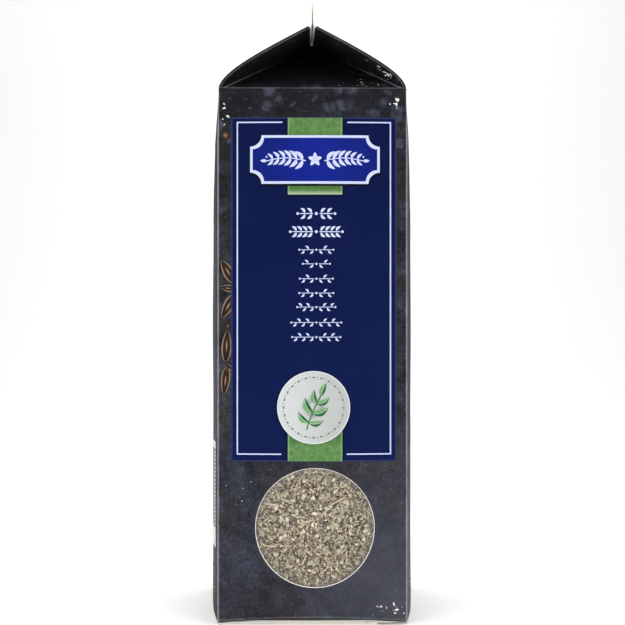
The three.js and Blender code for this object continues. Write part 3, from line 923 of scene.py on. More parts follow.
class Ink:
    """Flat shapes that are printed together, with a tone from 0 to 1 at each point."""

    def __init__(self):
        self.points = []
        self.faces = []
        self.tones = []

    def add(self, points, faces, tones):
        """Adds faces that count their corners from these points."""
        first = len(self.points)
        self.points += [tuple(point) for point in points]
        self.faces += [tuple(first + corner for corner in face) for face in faces]
        self.tones += list(tones)

    def grid(self, points, tones=None):
        """A grid of points given as rows."""
        points = np.asarray(points)
        rows, columns = points.shape[:2]
        tones = np.full((rows, columns), 0.5) if tones is None else np.broadcast_to(tones, (rows, columns))
        self.add(points.reshape(-1, 2), grid_faces(rows, columns), tones.ravel())

    def bar(self, left, right, bottom, top, tone=0.5, step=GRID_STEP):
        """An upright rectangle."""
        us, vs = spread(left, right, step), spread(bottom, top, step)
        self.grid(np.stack(np.meshgrid(us, vs), -1), tone)

    def line(self, path, width):
        """A line of even width along straight stretches, with mitred corners."""
        path = [Vector(point) for point in path]
        fine = [path[0]]
        for start, end in zip(path, path[1:]):
            fine += [start.lerp(end, share) for share in spread(0, 1, GRID_STEP / (end - start).length)[1:]]
        sides = []
        for index, point in enumerate(fine):
            before = (point - fine[index - 1]).normalized() if index else None
            after = (fine[index + 1] - point).normalized() if index + 1 < len(fine) else before
            before = before or after
            across = Vector((-(before + after).y, (before + after).x)).normalized()
            reach = width / 2 / max(0.5, across.dot(Vector((-before.y, before.x))))
            sides.append([point - across * reach, point + across * reach])
        self.grid([[tuple(a), tuple(b)] for a, b in sides])

    def shape(self, centre, outline, tones=(0.5, 0.5)):
        """A closed outline filled round its centre, with one tone there and one at the edge."""
        edge = []
        for start, end in zip(outline, [*outline[1:], outline[0]]):
            start, end = Vector(start), Vector(end)
            pieces = ceil((end - start).length / GRID_STEP)
            edge += [tuple(start.lerp(end, piece / pieces)) for piece in range(pieces)]
        centre, edge = np.array(centre), np.array(edge)
        reach = np.linalg.norm(edge - centre, axis=1).max()
        shares = spread(0, 1, GRID_STEP / reach)[1:]
        rings = np.stack([centre + (edge - centre) * share for share in shares])
        count = len(edge)
        values = [tones[0] + (tones[1] - tones[0]) * share for share in shares for _ in range(count)]
        points = [*rings.reshape(-1, 2), centre]
        faces = ring_faces(len(shares), count) + fan(len(points) - 1, 0, count)
        self.add(points, faces, [*values, tones[0]])

    def disc(self, u, v, radius, tones=(0.5, 0.5), sides=12):
        """A round spot."""
        self.shape((u, v), circle(u, v, radius, sides), tones)

    def ring(self, u, v, inner, outer, sides=72):
        """A flat ring."""
        points = [*circle(u, v, inner, sides), *circle(u, v, outer, sides)]
        self.add(points, ring_faces(2, sides), [0.5] * len(points))

    def leaf(self, base, tip, width, curl=0.0, tones=(0.2, 0.5, 0.85), steps=9):
        """A pointed leaf with a midrib, bent sideways by curl as a share of its length."""
        base, tip = Vector(base), Vector(tip)
        run = tip - base
        across = Vector((-run.y, run.x)).normalized()
        rows, values = [], []
        for step in range(steps + 1):
            t = 0.015 + 0.97 * step / steps
            middle = base + run * t + across * (curl * run.length * sin(pi * t))
            reach = width / 2 * sin(pi * t ** 0.85) ** 0.8
            rows.append([tuple(middle + across * reach * k) for k in (-1, -0.5, 0, 0.5, 1)])
            values.append([tones[0], tones[0], tones[1], tones[2], tones[2]])
        self.grid(rows, np.array(values))

    def blot(self, u, v, radius, rng, corners=7, tone=0.5, squash=1.0, ragged=0.45):
        """A small ragged spot."""
        turn = rng.uniform(0, pi)
        points = []
        for corner in range(corners):
            angle = 2 * pi * (corner + rng.uniform(-0.3, 0.3)) / corners
            reach = radius * rng.uniform(1 - ragged, 1)
            along, up = turned(reach * cos(angle), squash * reach * sin(angle), turn)
            points.append((u + along, v + up))
        points.append((u, v))
        self.add(points, fan(corners, 0, corners), [tone] * corners + [min(1.0, tone + 0.15)])


# Grid lines of the walls
MID_ROWS = np.concatenate([
    mm(4, 5.5, 7), spread(9.5 * MM, 190 * MM, GRID_STEP), mm(192.2, 194.2, 195.8, 197, 197.9),
])
EDGE_COLUMNS = [*mm(31.6, 32.9, 33.7, 34.3), CORNER_START]
CORNER_COLUMNS = [CORNER_START + share * CORNER_RUN for share in (0.25, 0.5, 0.75, 1)]

# Rings of points round the window, the bevel of its edge, and how far the rings reach
WINDOW_RINGS = 9
WINDOW_BEVEL = 0.2 * MM
WINDOW_MARGIN = 4.2 * MM


def wall_columns():
    """Places of a wall's columns from its left corner to its right."""
    inside = spread(-30 * MM, 30 * MM, GRID_STEP)
    side = EDGE_COLUMNS + CORNER_COLUMNS
    return np.concatenate([[-c for c in reversed(side)], inside, side])


def wall_rows(carton, panel):
    """Each row's height, roll angle and roll radius, from the foot to the shoulder."""
    rows = [(FOOT_Z, radians(angle), FOOT_ROLL) for angle in ROLL_ANGLES]
    rows += [(z, 0.0, FOOT_ROLL) for z in MID_ROWS]
    if panel in ("front", "back"):
        centre = carton.shoulder + 0.12 * MM - SHOULDER_ROLL * sin(radians(SHOULDER_ANGLES[-1]))
        rows += [(centre, radians(angle), SHOULDER_ROLL) for angle in SHOULDER_ANGLES]
    else:
        rows += [(carton.shoulder + shift * MM, 0.0, FOOT_ROLL) for shift in (-0.7, -0.35, 0)]
    return np.array(rows)


def wall_face(carton, panel, along, rows, depth):
    """Points of a wall's face at a depth, where the rolls of its foot and shoulder turn it inwards."""
    z, angle, radius = rows.T
    arch = FOOT_ARCH[panel] * np.clip(1 - (along / BULGE_HALF) ** 2, 0, 1)
    arch = arch * np.clip((ARCH_TOP - z) / ARCH_RUN, 0, 1)
    inset = radius - (radius - depth) * np.cos(angle)
    height = z + arch + (radius - depth) * np.sin(angle)
    return carton.wall(panel, along, height, inset)


def wall_crease(panel, along, rows):
    """How worn the print is along the folds, together with the painted highlight it also stands for: 1 along
    the folds, and fading beside them.
    """
    z, angle, _ = rows.T
    corner = np.exp(-((CORNER_START + CORNER_RUN - np.abs(along)) / (0.85 * MM)) ** 2)
    degrees = np.degrees(angle)
    foot = 0.72 * np.exp(-((degrees + 8) / 22) ** 2) * (z < 3 * MM)
    shoulder = 0.85 * np.exp(-((degrees - 50) / 26) ** 2) * (z > 190 * MM)
    if panel in ("left", "right"):
        shoulder = 0.6 * np.exp(-((z - 199.3 * MM) / (0.45 * MM)) ** 2)
    return np.maximum(np.maximum(corner, foot), shoulder)


def plain_wall(carton, panel):
    """Grid places of a wall without a window, its faces, slots and sunk depth."""
    rows, columns = wall_rows(carton, panel), wall_columns()
    along = np.tile(columns, len(rows))
    return along, np.repeat(rows, len(columns), axis=0), grid_faces(len(rows), len(columns)), None, 0.0


def window_wall(carton, panel):
    """The same for the front wall, where rings lead from a square block to the round window."""
    rows, columns = wall_rows(carton, panel), wall_columns()
    heights, width = rows[:, 0], len(columns)
    reach = carton.window_radius + WINDOW_MARGIN
    low, high = np.searchsorted(heights, (WINDOW_Z - reach, WINDOW_Z + reach))
    left, right = np.searchsorted(columns, (WINDOW_X - reach, WINDOW_X + reach))
    faces = grid_faces(len(rows), width, lambda r, c: not (low <= r < high and left <= c < right))
    border = [(low, c) for c in range(left, right)] + [(r, right) for r in range(low, high)]
    border += [(high, c) for c in range(right, left, -1)] + [(r, left) for r in range(high, low, -1)]
    along = list(np.tile(columns, len(rows)))
    places = [tuple(row) for row in np.repeat(rows, width, axis=0)]
    ring = [row * width + column for row, column in border]
    slots = [0] * len(faces)
    sunk = [0.0] * len(along)
    for step in range(1, WINDOW_RINGS + 1):
        is_last = step == WINDOW_RINGS
        share = min(1.0, step / (WINDOW_RINGS - 1)) ** 0.8
        radius = carton.window_radius + (0.0 if is_last else WINDOW_BEVEL)
        following = range(len(along), len(along) + len(border))
        for row, column in border:
            start = Vector((columns[column] - WINDOW_X, heights[row] - WINDOW_Z))
            spot = start.lerp(start.normalized() * radius, share)
            along.append(WINDOW_X + spot.x)
            places.append((WINDOW_Z + spot.y, 0.0, FOOT_ROLL))
            sunk.append(WINDOW_BEVEL if is_last else 0.0)
        for i, corner in enumerate(ring):
            j = (i + 1) % len(ring)
            faces.append((corner, ring[j], following[j], following[i]))
        slots += [int(is_last)] * len(ring)
        ring = following
    used, faces = used_only(faces)
    return np.array(along)[used], np.array(places)[used], faces, slots, np.array(sunk)[used]


def build_wall(carton, panel, materials):
    """One standing panel with half of each corner."""
    make = window_wall if panel == "front" else plain_wall
    along, rows, faces, slots, sunk = make(carton, panel)
    outer = wall_face(carton, panel, along, rows, sunk)
    inner = wall_face(carton, panel, along, rows, carton.board)
    points, faces, face_slots = closed_sheet(outer, inner, faces, slots)
    fields = {"crease": np.tile(wall_crease(panel, along, rows), 2)}
    piece = add_piece(f"panel_{panel}", points, faces, materials, face_slots, fields)
    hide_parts("carton_blank")


# Turns of the roof's folded ends, in degrees from under the roof to its outer face
END_ANGLES = (180, 150, 120, 90, 60, 30)


def fold_depths(carton):
    """Heights of the roof's rows at its ends, and depths there of the fold-back's two faces."""
    z = carton.roof_line(ROOF_EDGE_Y)[1]
    pairs = zip((FOLD_DEPTH, FOLD_UNDER), FIN_END_FILL)
    return z, *(first + (second + fill - first) * carton.lay(z) for (first, second), fill in pairs)


def finned_sheet(carton, outer, inner, crease, flip):
    """A sheet of columns that are printed on the roof's rows and bare on the fin's."""
    outer, inner = np.stack(outer, 1), np.stack(inner, 1)
    rows, columns = outer.shape[:2]
    first_bare = len(carton.ROOF_SHARES) + 1
    slots = [int(row >= first_bare) for row in range(rows - 1) for _ in range(columns - 1)]
    faces = grid_faces(rows, columns)
    points, faces, face_slots = closed_sheet(outer.reshape(-1, 3), inner.reshape(-1, 3), faces, slots)
    return points * flip, faces, face_slots, np.tile(crease.ravel(), 2)


def roof_sheet(carton, side):
    """A roof panel with its fin rib. Both ends are folded under."""
    inside = spread(-ROOF_EDGE_Y, ROOF_EDGE_Y, GRID_STEP)
    row_z, over, under = fold_depths(carton)
    radius, small = under / 2, over - under / 2
    outer, inner, crease = [], [], []

    def end_column(facing, degrees):
        turn = radians(degrees)
        for faces, reach in ((outer, radius), (inner, small)):
            face = carton.roof(facing * ROOF_EDGE_Y, radius - reach * cos(turn))[:, 0]
            face[:, 1] = facing * (ROOF_EDGE_Y + reach[:, 0] * sin(turn))
            faces.append(face)
        # The nose of the folded end takes worn print and a painted highlight.
        crease.append(np.full(len(row_z), 0.76 * exp(-((degrees - 118) / 34) ** 2)))

    for degrees in END_ANGLES:
        end_column(-1, degrees)
    board = carton.board + (FIN_BOARD - carton.board) * Carton.lay(row_z)
    for y in inside:
        outer.append(carton.roof(y, 0.0)[:, 0])
        inner.append(carton.roof(y, board)[:, 0])
        crease.append(np.zeros(len(row_z)))
    for degrees in reversed(END_ANGLES):
        end_column(1, degrees)
    # The shoulder crease also takes worn print and a painted highlight.
    shoulder = 0.7 * np.exp(-((row_z - carton.shoulder) / (0.5 * MM)) ** 2)
    crease = np.maximum(np.stack(crease, 1), shoulder)
    return finned_sheet(carton, outer, inner, crease, (side, 1, 1))


def crease_points(carton):
    """The fold between the gusset and its fold-back, row by row, and the points behind it."""
    start, end = np.array(CREASE_START), np.array(CREASE_END)
    in_fin = carton.fin_width(0.0) - FOLD_UNDER[1]
    points, lays = [], []
    for share in carton.ROOF_SHARES:
        points.append(start + (end - start) * share)
        lays.append(0.0)
    for share in carton.BEND_SHARES:
        points.append(end + (np.array([in_fin, end[1], FIN_START_Z]) - end) * share)
        lays.append(share)
    for z in carton.fin_rows():
        points.append(np.array([in_fin, end[1], z]))
        lays.append(1.0)
    lays = np.array(lays)[:, None]
    offsets = [
        np.array(first) + (np.array(second) - np.array(first)) * lays
        for first, second in (CREASE_BACK, GUSSET_BACK)
    ]
    return np.array(points), offsets


def gusset_sheet(carton, facing):
    """A gusset with the fold-backs beside it and the inner ribs of the fin above."""
    row_z, over, under = fold_depths(carton)
    edge_face = carton.roof(-ROOF_EDGE_Y, under)[:, 0]
    edge_back = carton.roof(-ROOF_EDGE_Y, over)[:, 0]
    fold, (fold_offset, floor_offset) = crease_points(carton)
    fold_back = fold + fold_offset
    steps = spread(0, 1, 1 / 12)
    half = [
        (edge_face + (fold - edge_face) * s, edge_back + (fold_back - edge_back) * s, 1.2 if s == 1 else 0.0)
        for s in steps
    ]
    shift = np.minimum(carton.board, 0.6 * fold[:, 0])
    corner = fold - np.stack([shift, 0 * shift, 0 * shift], -1)
    mirror = np.array([-1, 1, 1])
    columns = [(face * mirror, back * mirror, worn_and_lit) for face, back, worn_and_lit in half]
    for s in (0, 0.035, *spread(0.1, 0.9, 0.1), 0.965, 1):
        face = corner * mirror + (corner - corner * mirror) * s
        columns.append((face, face + floor_offset, 1.1 if s in (0, 1) else 0.0))
    columns += reversed(half)
    outer, inner, worn_and_lit = zip(*columns)
    rows = len(row_z)
    # The gusset's crease values stand for worn print and a painted highlight, fading up the roof.
    fading = np.interp(np.arange(rows), (0, 0.9 * len(carton.ROOF_SHARES)), (1, 0.3))
    return finned_sheet(carton, outer, inner, fading[:, None] * worn_and_lit, (1, -facing, 1))


# Foot: its board, half the width that its curves are read over, and the outer flap's seam
FLAP_BOARD = 0.5 * MM
FLAP_HALF = 33 * MM
FLAP_SEAM_X = 24 * MM


def board_sheet(high, low):
    """A closed sheet between two grids of points given as rows."""
    return closed_sheet(high.reshape(-1, 3), low.reshape(-1, 3), grid_faces(*high.shape[:2]))


def flap_sheet(carton, seam, bottom, inset):
    """A flat foot flap that ends at the seam's X, or at its own fold if seam is None."""
    low, high = [], []
    for share in spread(-1, 1, 0.08):
        reach = float(carton.wall("right", share * FLAP_HALF, FOOT_Z)[..., 0] - inset)
        x = np.linspace(-reach, reach if seam is None else seam, 26)
        depth = -carton.wall("front", np.clip(x, -FLAP_HALF, FLAP_HALF), FOOT_Z)[..., 1] - inset
        edge = np.clip((reach - np.abs(x)) / (0.8 * MM), 0, 1)
        round_up = 0.35 * MM * (1 - edge) ** 2
        low.append(np.stack([x, share * depth, bottom + round_up], -1))
        high.append(np.stack([x, share * depth, 0 * x + bottom + FLAP_BOARD], -1))
    return board_sheet(np.array(high), np.array(low))


def tuck_sheet(carton, facing, bottom, inset):
    """The triangular tuck above the flaps, under the front or the back."""
    high = []
    for share in spread(0, 1, 0.09):
        reach = (1 - 0.97 * share) * 33.5 * MM
        x = np.linspace(-reach, reach, 22)
        front = carton.wall("front", x, FOOT_Z)[..., 1] + inset
        y = front * (1 - share) - 1.5 * MM * share
        high.append(np.stack([x, y, 0 * x + bottom + FLAP_BOARD], -1))
    high = np.array(high) * (1, -facing, 1)
    return board_sheet(high, high - (0, 0, FLAP_BOARD))


def panel_surface(carton, panel):
    """The wall as a surface that inks can be printed on."""
    return lambda along, z, depth: carton.wall(panel, along, z, depth)


class CARTON_OT_walls(Operator):
    """Build the four standing panels with their rounded folds"""

    bl_idname = "carton.walls"
    bl_label = "Walls"

    def execute(self, context):
        carton = Carton()
        materials = [slate_material(), cream_material()]
        for panel in carton.TURNS:
            build_wall(carton, panel, materials)
        return {"FINISHED"}


class CARTON_OT_roof(Operator):
    """Build the roof panels, the gussets between them and the sealed fin"""

    bl_idname = "carton.roof"
    bl_label = "Roof and fin"

    def execute(self, context):
        carton = Carton()
        materials = [bpy.data.materials["slate_print"], bpy.data.materials["cream_board"]]
        sheets = {
            "roof_left": roof_sheet(carton, -1), "roof_right": roof_sheet(carton, 1),
            "gusset_front": gusset_sheet(carton, -1), "gusset_back": gusset_sheet(carton, 1),
        }
        for name, (points, faces, slots, crease) in sheets.items():
            piece = add_piece(name, points, faces, materials, slots, {"crease": crease})
            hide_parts("carton_blank")
        return {"FINISHED"}


class CARTON_OT_foot(Operator):
    """Build the folded flaps under the carton"""

    bl_idname = "carton.foot"
    bl_label = "Foot flaps"

    def execute(self, context):
        carton = Carton()
        material = underside_material()
        sheets = {
            "flap_outer": flap_sheet(carton, FLAP_SEAM_X, 0, 0.5 * MM),
            "flap_inner": flap_sheet(carton, None, 0.54 * MM, 0.9 * MM),
            "tuck_front": tuck_sheet(carton, -1, 1.1 * MM, 1.1 * MM),
            "tuck_back": tuck_sheet(carton, 1, 1.1 * MM, 1.1 * MM),
        }
        for name, (points, faces, _) in sheets.items():
            piece = add_piece(name, points, faces, [material])
            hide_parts("carton_blank")
        return {"FINISHED"}


# Border line of the label, and its breaks at the ribbon
LINE_X = mm(-27.85, 28.9)
LINE_Z = mm(63.4, 186.25)
LINE_BREAKS = {"top": mm(-11.2, 12.9), "bottom": mm(-11.6, 12.6)}
OUTLINE_WIDTH = 0.55 * MM


def make_toned_inks():
    """Makes the inks that several prints share, each once."""
    inks = print_colours()
    recipes = {
        "outline_ink": (srgb(34, 40, 74), srgb(46, 52, 88), srgb(60, 66, 102), 3 * MM),
        "shade_ink": (srgb(3, 6, 14), srgb(6, 10, 22), srgb(12, 18, 36), 2 * MM),
        "rim_ink": (srgb(214, 218, 222), srgb(225, 228, 234), srgb(236, 239, 244), 1 * MM),
        "grey_ink": (srgb(96, 99, 98), srgb(118, 121, 120), srgb(144, 147, 146), 0.6 * MM),
        "leaf_ink": (srgb(26, 88, 46), inks.leaf, srgb(138, 190, 120), 0.8 * MM),
        "pod_ink": (srgb(24, 14, 12), inks.pod, srgb(190, 162, 142), 0.6 * MM),
        "fleck_ink": (srgb(168, 164, 156), inks.fleck, srgb(248, 248, 246), 0.7 * MM),
        "info_ink": (srgb(196, 196, 194), srgb(214, 214, 212), srgb(228, 228, 226), 4 * MM),
        "text_ink": (srgb(34, 34, 40), srgb(48, 48, 56), srgb(66, 66, 74), 0.8 * MM),
    }
    for name, recipe in recipes.items():
        toned_material(name, *recipe)


def print_both(group, *prints):
    """Prints the same shapes on the front and the back, each with its name's end, ink and layer."""
    carton = Carton()
    for panel in ("front", "back"):
        for ending, shapes, ink, layer in prints:
            print_on(f"{group}_{panel}{ending}", panel_surface(carton, panel), shapes, ink, layer)


class CARTON_OT_label(Operator):
    """Print the navy label and its broken border line on the front and the back"""

    bl_idname = "carton.label"
    bl_label = "Label"

    def execute(self, context):
        label = label_sizes()
        make_toned_inks()
        navy_material()
        line_material()
        outline, field, line = Ink(), Ink(), Ink()
        outline.bar(
            label.left - OUTLINE_WIDTH, label.right + OUTLINE_WIDTH,
            label.bottom - OUTLINE_WIDTH, label.top + OUTLINE_WIDTH,
        )
        field.bar(label.left, label.right, label.bottom, label.top)
        for side, x in enumerate(LINE_X):
            line.line([
                (LINE_BREAKS["top"][side], LINE_Z[1]), (x, LINE_Z[1]),
                (x, LINE_Z[0]), (LINE_BREAKS["bottom"][side], LINE_Z[0]),
            ], label.line_width)
        print_both(
            "label", ("_outline", outline, "outline_ink", 1), ("_field", field, "navy_ink", 2),
            ("_line", line, "pale_ink", 3),
        )
        return {"FINISHED"}


class CARTON_OT_ribbon(Operator):
    """Print the green ribbon that runs behind the plaque and the seal"""

    bl_idname = "carton.ribbon"
    bl_label = "Ribbon"

    def execute(self, context):
        label = label_sizes()
        ribbon_material()
        ribbon = Ink()
        ribbon.bar(label.ribbon_left, label.ribbon_right, RIBBON_TOP_END, label.top + 0.35 * MM)
        ribbon.bar(label.ribbon_left, label.ribbon_right, label.bottom - 0.4 * MM, label.seal_z - 5 * MM)
        print_both("label", ("_ribbon", ribbon, "ribbon_ink", 3))
        return {"FINISHED"}


def ticket_outline(label, shrink):
    """The plaque's outline, moved inwards: a rectangle whose corners are cut out by quarter circles."""
    width, height = label.plaque_width / 2 - shrink, label.plaque_height / 2 - shrink
    outline = []
    for quarter in range(4):
        corner_x = width * (1 if quarter in (0, 3) else -1)
        corner_y = height * (1 if quarter in (0, 1) else -1)
        for step in range(9):
            angle = pi / 2 * (quarter + 3 - step / 8)
            middle = (label.plaque_x + corner_x, label.plaque_z + corner_y)
            outline.append(round_from(*middle, PLAQUE_NOTCH, angle))
    return outline


def garland(label):
    """Two leafy sprays that lean out from a small five-petalled flower."""
    ink = Ink()
    for side in (-1, 1):
        def spot(along, rise):
            return (label.plaque_x + side * along * MM, label.plaque_z + rise * MM)

        stem = [spot(3.4 + 14.4 * t, 1.1 * sin(pi * t) - 0.5) for t in spread(0, 1, 0.1)]
        ink.line(stem, 0.36 * MM)
        for step in range(6):
            t = 0.07 + 0.155 * step
            start = spot(3.4 + 14.4 * t, 1.1 * sin(pi * t) - 0.5)
            size = 4.1 - 0.28 * step
            for up in (-1, 1):
                tip = (start[0] + side * 0.74 * size * MM, start[1] + up * 0.8 * size * MM)
                ink.leaf(start, tip, 0.36 * size * MM, 0.12 * up * side)
            rise = 0.95 if step % 2 else -0.95
            ink.disc(start[0] + side * 2.35 * MM, start[1] + rise * MM, 0.34 * MM, sides=8)
        ink.leaf(stem[-1], spot(20.2, -0.4), 1.2 * MM)
    for petal in range(5):
        tip = round_from(*spot(0, 0), 2.7 * MM, pi / 2 + 2 * pi * petal / 5)
        ink.leaf(spot(0, 0), tip, 1.5 * MM)
    return ink


class CARTON_OT_plaque(Operator):
    """Print the blue ticket-shaped plaque with its leaf garland"""

    bl_idname = "carton.plaque"
    bl_label = "Plaque"

    def execute(self, context):
        label = label_sizes()
        plaque_material()
        centre = (label.plaque_x, label.plaque_z)
        drop = 0.45 * MM
        shade, rim, field = Ink(), Ink(), Ink()
        dropped = [(x, z - drop) for x, z in ticket_outline(label, -0.3 * MM)]
        shade.shape((centre[0], centre[1] - drop), dropped)
        rim.shape(centre, ticket_outline(label, 0))
        field.shape(centre, ticket_outline(label, PLAQUE_RIM))
        print_both(
            "plaque", ("_shade", shade, "shade_ink", 4), ("_rim", rim, "pale_ink", 5),
            ("_field", field, "plaque_ink", 6), ("_garland", garland(label), "pale_ink", 7),
        )
        return {"FINISHED"}


# Rows of printed leaves: height above the floor, width and leaf size, in millimetres
LEAF_ROWS = (
    (152.4, 14.9, 4.0), (145.7, 20.4, 4.0), (139.0, 13.4, 2.9), (133.8, 10.8, 2.9), (128.3, 13.0, 2.9),
    (123.0, 13.4, 2.9), (117.8, 14.9, 2.9), (112.1, 19.3, 2.9), (106.7, 18.6, 2.9),
)
LARGE_LEAF = 3.5 * MM


def leaf_row(ink, middle, height, width, size):
    """One row: two level stems that run out from a berry, with slanting leaves and a berry at each end."""
    ink.disc(middle, height, 0.14 * size, sides=10)
    for side in (-1, 1):
        start, end = middle + 0.3 * side * size, middle + side * (width / 2 - 0.34 * size)
        ink.line([(start, height), (end, height)], 0.085 * size)
        ink.disc(end + 0.2 * side * size, height, 0.13 * size, sides=10)
        count = max(2, round(abs(end - start) / (0.52 * size)))
        for step in range(count):
            x = start + (end - start) * (step + 0.2) / count
            for up in (1, -1) if size > LARGE_LEAF else (1 if step % 2 else -1,):
                foot = (x, height + 0.07 * up * size)
                tip = (x + 0.44 * side * size, height + 0.5 * up * size)
                ink.leaf(foot, tip, 0.25 * size, 0.14 * up * side, steps=6)


class CARTON_OT_leaf_rows(Operator):
    """Print the rows of small pale leaves under the plaque"""

    bl_idname = "carton.leaf_rows"
    bl_label = "Leaf rows"

    def execute(self, context):
        ink = Ink()
        for height, width, size in LEAF_ROWS:
            leaf_row(ink, label_sizes().rows_x, height * MM, width * MM, size * MM)
        print_both("leaf_rows", ("", ink, "pale_ink", 3))
        return {"FINISHED"}


def sprig(label):
    """A leaning stem with narrow leaves in pairs, and its pale midribs."""
    leaves, ribs = Ink(), Ink()

    def spot(t):
        along = label.seal_x + (-2.6 + 3.4 * t + 1.9 * t * t) * MM
        return Vector((along, label.seal_z + (-8.2 + 12.6 * t) * MM))

    places = [spot(t) for t in spread(0, 1, 0.1)]
    leaves.line([tuple(place) for place in places], 0.5 * MM)
    pairs = ((0.2, 5.6, 62), (0.48, 6.4, 48), (0.76, 5.4, 36))
    blades = []
    for t, reach, angle in pairs:
        run = (spot(t + 0.02) - spot(t - 0.02)).normalized()
        for side in (-1, 1):
            way = Vector(turned(run.x, run.y, radians(side * angle)))
            blades.append((spot(t), spot(t) + way * reach * MM, side * 0.14, 0.4 * reach))
    blades.append((spot(0.98), spot(1) + Vector(mm(2.0, 4.6)), 0.06, 2.3))
    for base, tip, curl, width in blades:
        leaves.leaf(base, tip, width * MM, curl)
        across = Vector((-(tip - base).y, (tip - base).x)) * curl
        rib = [base.lerp(tip, t) + across * sin(pi * t) for t in spread(0.08, 0.9, 0.1)]
        ribs.line([tuple(place) for place in rib], 0.16 * MM)
    return leaves, ribs


# Ring of leaves and dots inside the seal's edge
BORDER_COUNT = 48
BORDER_RADIUS = 11.3 * MM
BORDER_HALF_LEAF = 0.72 * MM


def seal_border(label):
    """Small leaves and dots by turns, all the way round."""
    ink = Ink()
    for index in range(BORDER_COUNT):
        angle = 2 * pi * index / BORDER_COUNT
        x, z = round_from(label.seal_x, label.seal_z, BORDER_RADIUS, angle)
        if index % 2:
            ink.disc(x, z, 0.24 * MM, sides=8)
            continue
        run = (BORDER_HALF_LEAF * -sin(angle), BORDER_HALF_LEAF * cos(angle))
        ink.leaf((x - run[0], z - run[1]), (x + run[0], z + run[1]), 0.62 * MM, 0.18, steps=5)
    return ink


class CARTON_OT_seal(Operator):
    """Print the round silver-grey seal with its own sprig and ring of leaves"""

    bl_idname = "carton.seal"
    bl_label = "Seal"

    def execute(self, context):
        label = label_sizes()
        seal_material()
        disc, rim = Ink(), Ink()
        disc.disc(label.seal_x, label.seal_z, label.seal_radius, sides=72)
        rim.ring(label.seal_x, label.seal_z, label.seal_radius - 0.35 * MM, label.seal_radius)
        leaves, ribs = sprig(label)
        print_both(
            "seal", ("_disc", disc, "seal_ink", 4), ("_rim", rim, "rim_ink", 5),
            ("_sprig", leaves, "leaf_ink", 5), ("_ribs", ribs, "rim_ink", 6),
            ("_border", seal_border(label), "grey_ink", 5),
        )
        return {"FINISHED"}


# White panel on the left side: its edges along the wall, its height, and the bars that stand for print
INFO_ALONG = mm(4.5, 29.6)
INFO_Z = mm(27.5, 67.3)
BAR_ROWS = 20
BAR_PITCH = 1.5 * MM
BAR_HALF = 0.42 * MM
BAR_GAP = 0.6 * MM
BAR_MARGIN = 0.8 * MM
FIRST_BAR_DROP = 3.4 * MM


def word_bars():
    """Rows of plain bars as long as words, each row with its own ragged end."""
    marks = Ink()
    rng = random.Random(PANEL_SEED)
    for row in range(BAR_ROWS):
        z = INFO_Z[1] - FIRST_BAR_DROP - row * BAR_PITCH
        along = INFO_ALONG[1] - BAR_MARGIN
        end = INFO_ALONG[0] + rng.uniform(1.5, 6) * MM
        while along > end:
            word = min(rng.uniform(1.2, 4.6) * MM, along - end + 0.4 * MM)
            marks.bar(along - word, along, z - BAR_HALF, z + BAR_HALF)
            along -= word + BAR_GAP
    return marks


class CARTON_OT_side_panel(Operator):
    """Print the white panel with its rows of plain bars on the left side"""

    bl_idname = "carton.side_panel"
    bl_label = "Side panel"

    def execute(self, context):
        surface = panel_surface(Carton(), "left")
        field = Ink()
        field.bar(*INFO_ALONG, *INFO_Z)
        print_on("side_panel_field", surface, field, "info_ink", 1)
        print_on("side_panel_bars", surface, word_bars(), "text_ink", 2)
        return {"FINISHED"}


def along_rows(line):
    """How far each point of a line lies from its start."""
    return np.concatenate([[0], np.cumsum(np.linalg.norm(np.diff(line, axis=0), axis=1))])


def place_on(line, places, at):
    """Points of a line at these distances."""
    return np.stack([np.interp(at, places, line[:, axis]) for axis in range(3)], -1)


def roof_fold_surface(carton):
    """The right front fold-back: u runs in from the roof's edge, and v up along that edge."""
    edge = carton.roof(-ROOF_EDGE_Y, fold_depths(carton)[2])[:, 0]
    crease = crease_points(carton)[0]
    places = along_rows(edge)
    normal = np.cross(crease[4] - edge[4], edge[8] - edge[4])
    normal = normal / np.linalg.norm(normal) * np.sign(-normal[1])

    def surface(u, v, depth):
        start, end = place_on(edge, places, v), place_on(crease, places, v)
        width = np.linalg.norm(end - start, axis=1)
        return start + (end - start) * (u / width)[:, None] - depth * normal

    return surface


def roof_surface(carton, side):
    """A roof panel: u runs along Y, and v up its slope from the shoulder."""

    def surface(u, v, depth):
        lines = carton.roof(u, depth).transpose(1, 0, 2)
        return np.concatenate([
            place_on(line, along_rows(line), [height]) for line, height in zip(lines, v)
        ]) * (side, 1, 1)

    return surface


def gusset_surface(u, v, depth):
    """The front gusset: u runs across and v runs up its slope from the shoulder."""
    slope = Vector((CREASE_END[1] - CREASE_START[1], CREASE_END[2] - CREASE_START[2])).normalized()
    return np.stack([
        u, CREASE_START[1] + slope.x * v + depth * slope.y, CREASE_START[2] + slope.y * v - depth * slope.x,
    ], -1)


def scatter(ink, rng, middle, reach, count, sizes, inside=None, tone=0.6):
    """Ragged spots strewn round a middle, fewer further out. inside says which places may have one."""
    for _ in range(count):
        spot = [rng.gauss(m, r / 2) for m, r in zip(middle, reach)]
        spot = [min(max(value, m - r), m + r) for value, m, r in zip(spot, middle, reach)]
        size = rng.uniform(*sizes) ** 1.6 * MM
        if inside is None or inside(*spot):
            ink.blot(
                *spot, size, rng, corners=rng.choice((4, 5, 6)), tone=tone + rng.uniform(-0.25, 0.3),
                squash=rng.uniform(0.35, 0.9),
            )


POD_LANES = (-1, -0.85, -0.62, -0.35, 0, 0.35, 0.62, 0.85, 1)
POD_STEPS = 10
